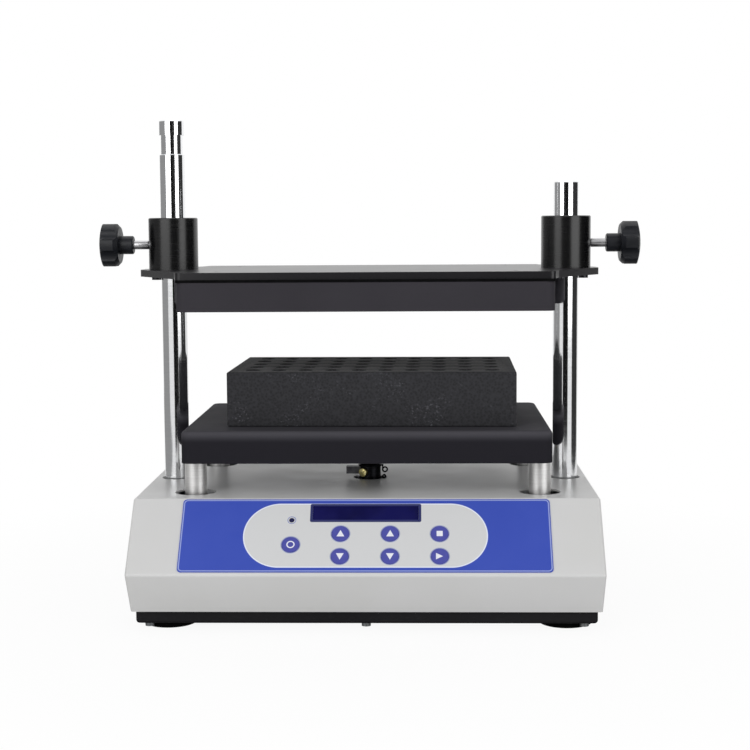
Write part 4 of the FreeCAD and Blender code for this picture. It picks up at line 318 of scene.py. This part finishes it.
def triangle(tree, spot, middle, size, way):
    """One inside a triangle that points UP the slope, DOWN it or to the RIGHT."""
    steepness, tail = 1.9, 0.8
    off = add(tree, "ShaderNodeVectorMath", {0: spot, 1: (middle[0], middle[1], 0)},
              operation="SUBTRACT")
    split = add(tree, "ShaderNodeSeparateXYZ", {0: off.outputs["Vector"]})
    along, side = ("X", "Y") if way == RIGHT else ("Y", "X")
    sign = 1.0 if way == RIGHT else -float(way)
    forward = add(tree, "ShaderNodeMath", {0: split.outputs[along], 1: sign}, operation="MULTIPLY")
    width = add(tree, "ShaderNodeMath", {0: split.outputs[side]}, operation="ABSOLUTE")
    slant = add(tree, "ShaderNodeMath", {0: width.outputs[0], 1: steepness}, operation="MULTIPLY")
    edge = add(tree, "ShaderNodeMath", {0: slant.outputs[0], 1: forward.outputs[0]},
               operation="ADD")
    over = add(tree, "ShaderNodeMath", {0: edge.outputs[0], 1: size}, operation="SUBTRACT")
    under = add(tree, "ShaderNodeMath", {0: forward.outputs[0], 1: -1.0}, operation="MULTIPLY")
    base = add(tree, "ShaderNodeMath", {0: under.outputs[0], 1: tail * size}, operation="SUBTRACT")
    gap = add(tree, "ShaderNodeMath", {0: over.outputs[0], 1: base.outputs[0]},
              operation="MAXIMUM")
    return inside(tree, gap.outputs[0])


def printed(tree, under, mask, code):
    """Ink of one colour over what is under it."""
    return blend(tree, mask, under, code)


def printed_film(name):
    """Polyester film printed from behind: even inks under a fine grain that scatters gloss."""
    material, tree, shader = begin(name, IOR=1.5, Specular_IOR_Level=0.35)
    spot = panel_place(tree)
    colour = blend(tree, grain(tree, 50 * MM), "#334AB0", "#3A51B6")
    border = distance(tree, spot, (0, 36.35), (151.3, 33.55), 3.0)
    colour = printed(tree, colour, line(tree, border, 0.9), "#97A3D6")
    oval = distance(tree, spot, (0, 36.45), (100.0, 29.95), 29.94)
    colour = printed(tree, colour, inside(tree, oval), "#D2D3D4")
    colour = printed(tree, colour, line(tree, oval, 1.0), "#E4E9F6")
    window = distance(tree, spot, (0, 15.05), (46.0, 8.8), 1.5)
    colour = printed(tree, colour, inside(tree, window), "#2A2F63")
    for key in KEYS:
        ring = round_distance(tree, spot, key, 8.2)
        colour = printed(tree, colour, inside(tree, ring), "#9EA6C9")
    ring = round_distance(tree, spot, LAMP, 3.3)
    colour = printed(tree, colour, line(tree, ring, 0.5), "#5A6AB6")
    tree.links.new(colour, shader.inputs["Base Color"])
    vary(tree, shader, 0.32, 0.44, grain(tree, 10 * MM))
    relief(tree, shader, grain(tree, 1.2 * MM), 30 * UM)
    return material


def key_film(name):
    """The film over a key: violet-blue ink with white signs, under a faint gloss."""
    material, tree, shader = begin(name, IOR=1.5, Coat_Weight=0.2, Coat_Roughness=0.2)
    white = "#E9EBF4"
    spot = panel_place(tree)
    colour = blend(tree, grain(tree, 4 * MM), "#41459C", "#4C50A8")
    for x in (SPEED_X, TIME_X):
        for row, way in ((UPPER_ROW, UP), (LOWER_ROW, DOWN)):
            colour = printed(tree, colour, triangle(tree, spot, (x, row), 3.4, way), white)
    square = distance(tree, spot, (RUN_X, UPPER_ROW), (2.5, 2.5), 0.3)
    colour = printed(tree, colour, inside(tree, square), white)
    start = (RUN_X - 0.6, LOWER_ROW)
    colour = printed(tree, colour, triangle(tree, spot, start, 3.2, RIGHT), white)
    ring = round_distance(tree, spot, SELECT_KEY, 2.9)
    colour = printed(tree, colour, line(tree, ring, 1.0), white)
    tree.links.new(colour, shader.inputs["Base Color"])
    vary(tree, shader, 0.3, 0.42, grain(tree, 5 * MM))
    relief(tree, shader, grain(tree, 1.2 * MM), 30 * UM)
    return material


def display_glass(name):
    """Tinted acrylic window: nearly black-blue, polished, with a faint haze from wiping."""
    material, tree, shader = begin(name, IOR=1.49)
    tint(tree, shader, "#10103A", "#181852", grain(tree, 30 * MM))
    vary(tree, shader, 0.06, 0.14, grain(tree, 12 * MM, 4.0))
    relief(tree, shader, grain(tree, 20 * MM), 20 * UM)
    return material


def liquid_crystal(name):
    """Unlit display: dark blue with rows of faint character cells."""
    material, tree, shader = begin(name, IOR=1.5)
    cells = add(tree, "ShaderNodeTexBrick", {
        "Vector": panel_place(tree), "Scale": 0.5, "Mortar Size": 0.01, "Brick Width": 2.0,
        "Row Height": 2.6, "Color1": linear("#14143E"), "Color2": linear("#15154A"),
        "Mortar": linear("#0F0F30")})
    tree.links.new(cells.outputs["Color"], shader.inputs["Base Color"])
    vary(tree, shader, 0.2, 0.3, grain(tree, 10 * MM))
    relief(tree, shader, cells.outputs["Fac"], 20 * UM)
    return material


def solder_mask(name):
    """Glass-fibre board under green lacquer, with the weave just showing."""
    material, tree, shader = begin(name, IOR=1.5, Coat_Weight=0.4, Coat_Roughness=0.15)
    weave = add(tree, "ShaderNodeTexChecker", {"Vector": place(tree), "Scale": 1 / (0.9 * MM)})
    tint(tree, shader, "#123F22", "#1B5A30", grain(tree, 4 * MM, 4.0))
    vary(tree, shader, 0.3, 0.4, grain(tree, 4 * MM))
    relief(tree, shader, weave.outputs["Fac"], 30 * UM, 0.4)
    return material


def rocker_plastic(name):
    """Glossy nylon rocker with a moulded line and ring, filled white."""
    material, tree, shader = begin(name, IOR=1.5, Coat_Weight=0.3, Coat_Roughness=0.08)
    white = "#E6E6E4"
    split = add(tree, "ShaderNodeSeparateXYZ", {0: place(tree)})
    across, height = [add(tree, "ShaderNodeMath", {0: split.outputs[axis], 1: PER_METRE},
                          operation="MULTIPLY").outputs[0] for axis in "XZ"]
    spot = add(tree, "ShaderNodeCombineXYZ", {"X": across, "Y": height}).outputs[0]
    colour = blend(tree, grain(tree, 4 * MM), "#0D0D0E", "#161617")
    bar = distance(tree, spot, (62, 67.8), (0.35, 1.6), 0.3)
    colour = printed(tree, colour, inside(tree, bar), white)
    ring = round_distance(tree, spot, (62, 60.0), 1.5)
    colour = printed(tree, colour, line(tree, ring, 0.6), white)
    tree.links.new(colour, shader.inputs["Base Color"])
    vary(tree, shader, 0.18, 0.28, grain(tree, 4 * MM))
    relief(tree, shader, grain(tree, 1 * MM), 10 * UM)
    return material


def lens(name):
    """Tinted epoxy lamp, unlit: smooth and nearly black blue."""
    material, tree, shader = begin(name, IOR=1.5)
    tint(tree, shader, "#15163F", "#20225A", grain(tree, 2 * MM))
    vary(tree, shader, 0.2, 0.3, grain(tree, 1 * MM))
    relief(tree, shader, grain(tree, 1 * MM), 10 * UM)
    return material


# One finish for each material slot of the record.
finishes = {
    "cover_paint": powder_coat("light_grey_powder_coat", "#D1D1D1", "#CECECD", 0.3, 0.36,
                               2.2 * MM, 12 * UM, 0.27),
    "black_paint": powder_coat("black_powder_coat", "#302E33", "#2A282D", 0.58, 0.68,
                               1.6 * MM, 40 * UM, 0.1),
    "zinc_steel": plated_metal("zinc_plated_steel", "#B9BCC0", "#A3A5A6", 0.32, 0.46),
    "alloy_plate": plated_metal("milled_aluminium", "#C6C7C9", "#B2B3B6", 0.28, 0.4),
    "motor_case": powder_coat("motor_lacquer", "#2D2F33", "#26282B", 0.4, 0.5,
                              2 * MM, 60 * UM),
    "blackened_steel": turned_metal("blackened_steel", "#2B2B2F", "#19191B", 0.3, 0.42, "Z"),
    "trim_grey": plated_metal("plain_steel", "#77777B", "#606064", 0.34, 0.46),
    "bright_steel": turned_metal("turned_bright_steel", "#F0EFEE", "#E4E3E2", 0.38, 0.46, "Z"),
    "post_chrome": chrome("hard_chrome"),
    "bearing_steel": turned_metal("ground_bearing_steel", "#C9C9CC", "#B7B7BA", 0.12, 0.2, "Z"),
    "screw_steel": plated_metal("black_zinc_screw", "#4A4A4E", "#343437", 0.3, 0.42),
    "brass": turned_metal("turned_brass", "#F4EAB0", "#E2D384", 0.24, 0.34, "Y"),
    "black_rubber": black_rubber("moulded_rubber"),
    "foam": foam("closed_cell_foam"),
    "collar_black": anodised("black_anodised_aluminium", "#0D0D0E", "#070708", 0.22, 0.28),
    "knob_black": moulded_plastic("moulded_nylon", "#15171D", "#101217", 0.34, 0.44, 0.3),
    "overlay_blue": printed_film("printed_polyester_film"),
    "key_blue": key_film("printed_key_film"),
    "display_window": display_glass("tinted_acrylic"),
    "display_body": liquid_crystal("unlit_liquid_crystal"),
    "board_green": solder_mask("circuit_board"),
    "lamp": lens("tinted_epoxy"),
    "inlet_black": moulded_plastic("moulded_polyamide", "#1B1B1C", "#131314", 0.4, 0.52, 0.4),
    "rocker_black": rocker_plastic("glossy_rocker"),
}

# Finishes of single pieces that differ from their slot's, or that only this script adds.
thread_steel = turned_metal("rolled_thread_steel", "#D0D0D2", "#B4B4B7", 0.18, 0.3, "X",
                            spacing=0.4 * MM)
semi_gloss = powder_coat("semi_gloss_black_enamel", "#1D1C1F", "#1C1B1E", 0.28, 0.3,
                         1.6 * MM, 10 * UM, 0.4)
# painted light: a lighter copy of the black powder coat, for the pressure tray
head_lit_black = powder_coat("head_powder_coat", "#353338", "#323035", 0.58, 0.68,
                         1.6 * MM, 40 * UM, 0.1)
# The platform tray's upper side and bend are painted lighter: painted light.
platform_black = painted_light_coat("platform_powder_coat", "#48474C", "#232227", "platform_tray")
# painted shade: a darker copy of the black powder coat, for the bottom tray
shaded_black = powder_coat("deep_black_powder_coat", "#1D1C1F", "#18171A", 0.5, 0.6,
                         1.6 * MM, 40 * UM, 0.15)
shank_steel = turned_metal("ground_shank_steel", "#C2C2C3", "#BABABC", 0.29, 0.33, "X", 1 * UM)
nickel = plated_metal("nickel_plated_blade", "#CFC9BC", "#B8B2A6", 0.22, 0.32)

for entry in frame["record"]["subparts"]:
    shown = frame["nodes"][entry["node"]]
    shown.data.materials.clear()
    shown.data.materials.append(finishes[entry["material_slot"]])
for node, finish in (("chassis_bolts", finishes["zinc_steel"]), ("top_plate", semi_gloss),
                     ("bottom_tray", shaded_black), ("pressure_tray", head_lit_black),
                     ("platform_tray", platform_black)):
    frame["nodes"][node].data.materials[0] = finish


# Modelling helpers

def deselect():
    """Leave edit mode with nothing selected."""
    if bpy.context.object is not None and bpy.context.object.mode != "OBJECT":
        bpy.ops.object.mode_set(mode="OBJECT")
    bpy.ops.object.select_all(action="DESELECT")


def activate(piece):
    """Leave edit mode with one piece selected and active."""
    deselect()
    piece.select_set(True)
    bpy.context.view_layer.objects.active = piece


def slab(size, middle=(0, 0, 0)):
    """A box of a size round its middle, left in edit mode with all of it selected."""
    deselect()
    bpy.ops.mesh.primitive_cube_add(size=1, location=middle)
    bpy.ops.object.mode_set(mode="EDIT")
    bpy.ops.transform.resize(value=size)
    return bpy.context.object


def rod(sides, radius, length, **where):
    """A round bar, upright unless it is turned."""
    deselect()
    bpy.ops.mesh.primitive_cylinder_add(vertices=sides, radius=radius, depth=length, **where)
    return bpy.context.object


def choose(piece, test, kind="faces"):
    """In edit mode, select only the faces or edges that pass a test.

    The test gets the middle of each in the piece's own coordinates, and a face's normal or an
    edge's direction.
    """
    bpy.ops.mesh.select_mode(type="FACE" if kind == "faces" else "EDGE")
    bpy.ops.mesh.select_all(action="DESELECT")
    bpy.ops.object.mode_set(mode="OBJECT")
    points = piece.data.vertices
    if kind == "faces":
        for face in piece.data.polygons:
            face.select = bool(test(face.center, face.normal))
    else:
        for edge in piece.data.edges:
            first, second = [points[index].co for index in edge.vertices]
            edge.select = bool(test((first + second) / 2, (second - first).normalized()))
    bpy.ops.object.mode_set(mode="EDIT")


def upright(spot, way):
    """Test for an edge that stands up."""
    return abs(way.z) > 0.9


def facing_down(spot, facing):
    """Test for a face that looks down."""
    return facing.z < -0.9


def applied(piece, kind, name, **settings):
    """Add a modifier and apply it."""
    activate(piece)
    modifier = piece.modifiers.new(name, kind)
    for key, value in settings.items():
        setattr(modifier, key, value)
    bpy.ops.object.modifier_apply(modifier=name)


def cut(piece, tool, name):
    """Take the shape of a tool out of a piece, and drop the tool."""
    applied(piece, "BOOLEAN", name, operation="DIFFERENCE", object=tool, solver="EXACT")
    bpy.data.objects.remove(tool)


def soften(piece, name, width, segments, angle):
    """Round every edge of a piece that bends by more than an angle in degrees."""
    applied(piece, "BEVEL", name, width=width, segments=segments, limit_method="ANGLE",
            angle_limit=math.radians(angle))


def settle(piece, name, finish, body):
    """Finish a piece: its place goes into its mesh, it gets its finish and it rides on its body."""
    activate(piece)
    piece.name = name
    piece.data.name = name
    bpy.ops.object.transform_apply(location=True, rotation=True, scale=True)
    piece.data.materials.clear()
    piece.data.materials.append(finish)
    bpy.ops.object.shade_smooth_by_angle(angle=math.radians(35))
    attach(piece, body)
    deselect()


# Pieces

def foam_rack():
    """Sawn foam block, a little askew, with softened edges and rows of drilled blind wells."""
    turn = math.radians(-1.0)
    wide, deep, high = 247 * MM, 156 * MM, RACK_HIGH.z - RACK_LOW.z
    well_depth, drill_length = 38 * MM, 60 * MM
    tip_taper, tip_height = 1.5 * MM, 1 * MM
    edge_softness, rim_softness = 1.4 * MM, 0.7 * MM
    block = slab((wide, deep, high))
    bpy.ops.mesh.bevel(offset=edge_softness, segments=3, affect="EDGES")
    drill = rod(32, WELL_RADIUS * MM, drill_length)
    drill.location = (-(COLUMNS - 1) / 2 * COLUMN_PITCH * MM, -(ROWS - 1) / 2 * ROW_PITCH * MM,
                      high / 2 - well_depth + drill_length / 2)
    bpy.ops.object.transform_apply(location=True)
    bpy.ops.object.mode_set(mode="EDIT")
    choose(drill, facing_down)
    bpy.ops.mesh.inset(thickness=tip_taper)
    bpy.ops.transform.translate(value=(0, 0, -tip_height))
    for name, count, step in (("columns", COLUMNS, (COLUMN_PITCH * MM, 0, 0)),
                              ("rows", ROWS, (0, ROW_PITCH * MM, 0))):
        applied(drill, "ARRAY", name, count=count, use_relative_offset=False,
                use_constant_offset=True, constant_offset_displace=step)
    cut(block, drill, "wells")
    activate(block)
    bpy.ops.object.mode_set(mode="EDIT")
    choose(block, lambda spot, way: abs(spot.z - high / 2) < 0.01 * MM and rim(spot), "edges")
    bpy.ops.mesh.bevel(offset=rim_softness, segments=2, affect="EDGES")
    bpy.ops.object.mode_set(mode="OBJECT")
    block.rotation_euler = (0, 0, turn)
    block.location = (RACK_LOW + RACK_HIGH) / 2
    settle(block, "sawn_foam_rack", finishes["foam"], "platform")
    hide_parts("foam_rack")


def rim(spot):
    """True near the rim of a well, in the rack's own coordinates."""
    near = 0.4
    column = spot.x / (COLUMN_PITCH * MM) + (COLUMNS - 1) / 2
    row = spot.y / (ROW_PITCH * MM) + (ROWS - 1) / 2
    if not (-near < column < COLUMNS - 1 + near and -near < row < ROWS - 1 + near):
        return False
    off = Vector(((column - round(column)) * COLUMN_PITCH, (row - round(row)) * ROW_PITCH))
    return abs(off.length - WELL_RADIUS) < near


def foam_pad():
    """Pressure pad: a soft slab whose lower face is hollowed a little inside a flat margin."""
    size = PAD_HIGH - PAD_LOW
    narrower, thinner, corner = 0.4 * MM, 0.2 * MM, 6 * MM
    margin, slope, hollow = 3 * MM, 14 * MM, 1.2 * MM
    pad = slab((size.x - narrower, size.y - narrower, size.z - thinner), (PAD_LOW + PAD_HIGH) / 2)
    choose(pad, upright, "edges")
    bpy.ops.mesh.bevel(offset=corner, segments=5, affect="EDGES")
    choose(pad, facing_down)
    bpy.ops.mesh.inset(thickness=margin)
    bpy.ops.mesh.inset(thickness=slope)
    bpy.ops.transform.translate(value=(0, 0, hollow))
    soften(pad, "soft_edges", 1.6 * MM, 3, 40)
    settle(pad, "pressure_foam_pad", finishes["foam"], "clamp_head")
    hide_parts("foam_pad")


def tray_shadow_ring():
    """Thin black ring in the rubber finish, a painted shadow: it makes the dark line under the
    plate's edge, between the pressure tray's rounded edge and the plate above it.
    """
    low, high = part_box("pressure_tray")
    proud, thick, broad, corner = 0.2 * MM, 2.2 * MM, 6 * MM, 4 * MM
    ring = slab((high.x - low.x + 2 * proud, high.y - low.y + 2 * proud, thick),
                ((low.x + high.x) / 2, (low.y + high.y) / 2, high.z - thick / 2))
    choose(ring, upright, "edges")
    bpy.ops.mesh.bevel(offset=corner, segments=5, affect="EDGES")
    choose(ring, lambda spot, facing: abs(facing.z) > 0.9)
    bpy.ops.mesh.inset(thickness=broad, use_individual=True)
    bpy.ops.mesh.delete(type="ONLY_FACE")
    bpy.ops.mesh.select_mode(type="EDGE")
    bpy.ops.mesh.select_all(action="DESELECT")
    bpy.ops.mesh.select_non_manifold()
    bpy.ops.mesh.bridge_edge_loops()
    bpy.ops.mesh.select_all(action="SELECT")
    bpy.ops.mesh.normals_make_consistent(inside=False)
    settle(ring, "pressure_tray_gasket", finishes["black_rubber"], "clamp_head")


def clamp_stud(side, name):
    """Clamp stud: a ground shank by the knob, and behind it a rolled M6 thread.

    The thread is one tooth, screwed round the axis by its pitch.
    """
    pitch, outer, core = 1.0 * MM, 3.0 * MM, 2.45 * MM
    shank_radius, collar_gap, end_gap = 3.9 * MM, 0.3 * MM, 2 * MM
    weld = 0.01 * MM
    low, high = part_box(name + "_clamp_stud")
    collar_low, collar_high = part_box(name + "_collar")
    tip, end = (low.x, high.x) if side > 0 else (high.x, low.x)
    mouth = (collar_high.x if side > 0 else collar_low.x) + side * collar_gap
    turns = int(abs(mouth - tip) / pitch)
    across, height = (low.y + high.y) / 2, (low.z + high.z) / 2
    deselect()
    bpy.ops.mesh.primitive_plane_add(size=1)
    thread = bpy.context.object
    tooth = [(core, 0), (core, 0.12), (outer, 0.44), (outer, 0.56), (core, 0.88), (core, 1.0)]
    profile = bpy.data.meshes.new("tooth")
    profile.from_pydata([(x, 0, z * pitch) for x, z in tooth],
                        [(i, i + 1) for i in range(len(tooth) - 1)], [])
    thread.data = profile
    applied(thread, "SCREW", "thread", angle=math.tau, screw_offset=pitch, iterations=turns,
            steps=28, render_steps=28, use_merge_vertices=True, merge_threshold=weld, axis="Z")
    bpy.ops.object.mode_set(mode="EDIT")
    bpy.ops.mesh.select_mode(type="VERT")
    bpy.ops.mesh.select_all(action="SELECT")
    bpy.ops.mesh.remove_doubles(threshold=weld)
    bpy.ops.mesh.select_all(action="DESELECT")
    bpy.ops.mesh.select_non_manifold()
    bpy.ops.mesh.fill()
    bpy.ops.mesh.select_all(action="SELECT")
    bpy.ops.mesh.normals_make_consistent(inside=False)
    bpy.ops.object.mode_set(mode="OBJECT")
    thread.rotation_euler = (0, side * math.pi / 2, 0)
    thread.location = (tip + side * 0.1 * MM, across, height)
    settle(thread, name + "_stud_thread", thread_steel, name + "_stud")
    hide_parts(name + "_clamp_stud")
    end -= side * end_gap
    shank = rod(64, shank_radius, abs(end - mouth), location=((end + mouth) / 2, across, height),
                rotation=(0, math.pi / 2, 0))
    soften(shank, "turned_edges", 0.3 * MM, 2, 50)
    settle(shank, name + "_stud_shank", shank_steel, name + "_stud")


def brass_screw():
    """Slotted cheese-head balance screw of brass, pointing out of the hub to the front left."""
    hub, hub_radius = Vector((0, 20.2 * MM, 113.8 * MM)), 9.5 * MM
    head_radius, head_high, neck_radius, neck_length = 3.8 * MM, 4 * MM, 2 * MM, 6 * MM
    slot_long, slot_wide, slot_deep, slot_turn = 10 * MM, 1 * MM, 1.2 * MM, 0.6
    angle = math.radians(-30)
    screw = rod(48, head_radius, head_high)
    bpy.ops.object.mode_set(mode="EDIT")
    choose(screw, facing_down)
    bpy.ops.mesh.inset(thickness=head_radius - neck_radius)
    bpy.ops.mesh.extrude_region_move(TRANSFORM_OT_translate={"value": (0, 0, -neck_length)})
    soften(screw, "turned_edges", 0.35 * MM, 2, 50)
    deselect()
    bpy.ops.mesh.primitive_cube_add(size=1, location=(0, 0, head_high / 2))
    slot = bpy.context.object
    slot.scale = (slot_long, slot_wide, 2 * slot_deep)
    slot.rotation_euler = (0, 0, slot_turn)
    cut(screw, slot, "slot")
    axis = Vector((math.sin(angle), -math.cos(angle), 0))
    screw.rotation_euler = axis.to_track_quat("Z", "Y").to_euler()
    screw.location = hub + axis * (hub_radius + head_high / 2)
    settle(screw, "slotted_balance_screw", finishes["brass"], "drive")
    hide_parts("balance_screw")


def rubber_feet():
    """Bowl-shaped rubber feet, each bored for its screw and recessed for its head, as one piece."""
    low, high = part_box("rubber_feet")
    screw_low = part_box("foot_screws")[0].z
    radius, rounding = 24 * MM, 4.2 * MM
    recess = (5.5 * MM, screw_low + 2.6 * MM)
    bore = (2.75 * MM, 2 * high.z)
    feet = []
    for x in (low.x + radius, high.x - radius):
        for y in (low.y + radius, high.y - radius):
            foot = rod(64, radius, high.z - low.z, location=(x, y, (low.z + high.z) / 2))
            bpy.ops.object.mode_set(mode="EDIT")
            choose(foot, lambda spot, way: spot.z < 0 and abs(way.z) < 0.1, "edges")
            bpy.ops.mesh.bevel(offset=rounding, segments=6, affect="EDGES")
            for hole_radius, reach in (recess, bore):
                cut(foot, rod(32, hole_radius, 2 * reach, location=(x, y, low.z)), "screw_hole")
            feet.append(foot)
    activate(feet[0])
    for foot in feet:
        foot.select_set(True)
    bpy.ops.object.join()
    settle(feet[0], "moulded_rubber_feet", finishes["black_rubber"], "base")
    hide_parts("rubber_feet")


def socket_blades():
    """Nickel-plated contact blades of the inlet: three flat bars, the earth blade the highest."""
    size, depth = (2.1 * MM, 11.2 * MM, 4.1 * MM), 126.9 * MM
    for number, (x, z) in enumerate(((104.8, 62), (119.2, 62), (112, 66)), start=1):
        blade = slab(size, (x * MM, depth, z * MM))
        settle(blade, "inlet_blade_" + str(number), nickel, "base")


foam_rack()
foam_pad()
clamp_stud(-1, "left")
clamp_stud(1, "right")
brass_screw()
socket_blades()
# a black ring that paints the shadow under the top plate's edge
tray_shadow_ring()
rubber_feet()


# Studio

def studio_paint(name, code):
    """Matte floor paint: white to the camera but for a soft shade by the feet.

    In reflections it is dim close to the mixer and nearly white farther off.
    """
    material, tree = blank(name)
    matte = add(tree, "ShaderNodeBsdfDiffuse", {"Color": linear(code)})
    path = add(tree, "ShaderNodeLightPath")
    reach = add(tree, "ShaderNodeVectorMath", {0: place(tree)}, operation="LENGTH")
    mirrored = add(tree, "ShaderNodeMapRange",
                   {"Value": reach.outputs["Value"], "From Min": 0.35, "From Max": 0.6,
                    "To Min": 0.12, "To Max": 0.8})
    light = add(tree, "ShaderNodeMath", {0: path.outputs["Is Camera Ray"], 1: mirrored.outputs[0]},
                operation="MAXIMUM")
    glow = add(tree, "ShaderNodeEmission", {"Color": (1, 1, 1, 1), "Strength": light.outputs[0]})
    far = add(tree, "ShaderNodeMapRange",
              {"Value": reach.outputs["Value"], "From Min": 0.2, "From Max": 0.6,
               "To Min": 0.93, "To Max": 1.0})
    seen = add(tree, "ShaderNodeMath", {0: path.outputs["Is Camera Ray"], 1: far.outputs[0]},
               operation="MULTIPLY")
    share = add(tree, "ShaderNodeMath", {0: seen.outputs[0], 1: path.outputs["Is Glossy Ray"]},
                operation="MAXIMUM")
    mixed = add(tree, "ShaderNodeMixShader",
                {0: share.outputs[0], 1: matte.outputs[0], 2: glow.outputs[0]})
    add(tree, "ShaderNodeOutputMaterial", {"Surface": mixed.outputs[0]})
    return material


def turned(spot, aim, axis):
    """The rotation by which an object at a spot turns an axis towards an aim."""
    return (Vector(aim) - Vector(spot)).to_track_quat(axis, "Y").to_euler()


def card(name, spot, aim, wide, tall, grey):
    """A grey card outside the picture.

    Polished metal mirrors it as a stripe, and gloss stays dark in front of it.
    """
    deselect()
    bpy.ops.mesh.primitive_plane_add(size=1)
    sheet = bpy.context.object
    sheet.name = name
    sheet.scale = (wide, tall, 1)
    sheet.location = spot
    sheet.rotation_euler = turned(spot, aim, "Z")
    material, tree = blank(name)
    glow = add(tree, "ShaderNodeEmission", {"Color": (grey, grey, grey, 1), "Strength": 1.0})
    add(tree, "ShaderNodeOutputMaterial", {"Surface": glow.outputs[0]})
    sheet.data.materials.append(material)
    sheet.visible_camera = False
    sheet.visible_diffuse = False
    sheet.visible_shadow = False


def softbox(name, spot, aim, wide, tall, power):
    """A broad lamp whose light falls off softly round the mixer."""
    lamp = bpy.data.lights.new(name, "AREA")
    lamp.shape = "RECTANGLE"
    lamp.size = wide
    lamp.size_y = tall
    lamp.energy = power
    holder = bpy.data.objects.new(name, lamp)
    holder.location = spot
    holder.rotation_euler = turned(spot, aim, "-Z")
    bpy.context.scene.collection.objects.link(holder)


deselect()
bpy.ops.mesh.primitive_plane_add(size=40)
floor = bpy.context.object
floor.name = "studio_floor"
floor.data.materials.append(studio_paint("white_floor_paint", "#F8F8F8"))

# Name, place, aim, width, height and grey, in metres.
card("black_card_front", (0.105, -0.9, 0.426), (0.105, 0, 0.426), 0.79, 0.848, 0.006)
card("grey_card_left", (-1.29, 0.33, 0.5), (0, 0.33, 0.5), 2.34, 1.4, 0.29)
card("grey_card_floor", (-1.0, 0.33, 0.002), (-1.0, 0.33, 1), 0.6, 2.34, 0.29)
card("dark_card_right", (0.9, 0.12, 0.5), (0, 0.12, 0.5), 1.06, 1.4, 0.035)
card("black_card_top", (-0.03, -0.42, 1.7), (-0.03, -0.42, 0), 1.0, 0.55, 0.01)

# Name, place, aim, width, height and power, in metres and watts.
softbox("key_softbox", (-1.1, -1.7, 0.95), (0, 0, 0.15), 1.8, 1.4, 15.5)
softbox("fill_softbox", (1.3, -1.6, 0.7), (0, 0, 0.15), 2.0, 1.2, 13.5)
softbox("top_softbox", (0.1, 0.4, 1.8), (0, 0, 0.1), 1.6, 1.2, 3)

# White surroundings: full strength where they are seen or mirrored, half for what they light.
world = bpy.data.worlds.new("white_studio")
bpy.context.scene.world = world
world.use_nodes = True
tree = world.node_tree
tree.nodes.clear()
path = add(tree, "ShaderNodeLightPath")
either = add(tree, "ShaderNodeMath",
             {0: path.outputs["Is Camera Ray"], 1: path.outputs["Is Glossy Ray"]},
             operation="MAXIMUM")
third = add(tree, "ShaderNodeMath",
            {0: either.outputs[0], 1: path.outputs["Is Transmission Ray"]}, operation="MAXIMUM")
strength = add(tree, "ShaderNodeMapRange",
               {"Value": third.outputs[0], "To Min": 0.5, "To Max": 1.0})
sky = add(tree, "ShaderNodeBackground",
          {"Color": (1, 1, 1, 1), "Strength": strength.outputs["Result"]})
add(tree, "ShaderNodeOutputWorld", {"Surface": sky.outputs[0]})

# Camera at the photograph's place, found from the edges of cover, posts and plates.
yaw, pitch, roll = math.radians(1.689), math.radians(5.474), math.radians(-0.346)
forward = Vector((-math.sin(yaw) * math.cos(pitch), math.cos(yaw) * math.cos(pitch),
                  -math.sin(pitch)))
level_right = Vector((math.cos(yaw), math.sin(yaw), 0))
level_up = level_right.cross(forward)
right = math.cos(roll) * level_right + math.sin(roll) * level_up
up = -math.sin(roll) * level_right + math.cos(roll) * level_up
eye = bpy.data.cameras.new("camera")
eye.lens = 75.96
eye.sensor_width = 36
camera = bpy.data.objects.new("camera", eye)
pose = Matrix((right, up, -forward)).transposed().to_4x4()
pose.translation = Vector((46.5, -1394.7, 336.3)) * MM
camera.matrix_world = pose
bpy.context.scene.collection.objects.link(camera)
bpy.context.scene.camera = camera

bpy.context.scene.view_settings.view_transform = "Standard"

bpy.context.view_layer.update()
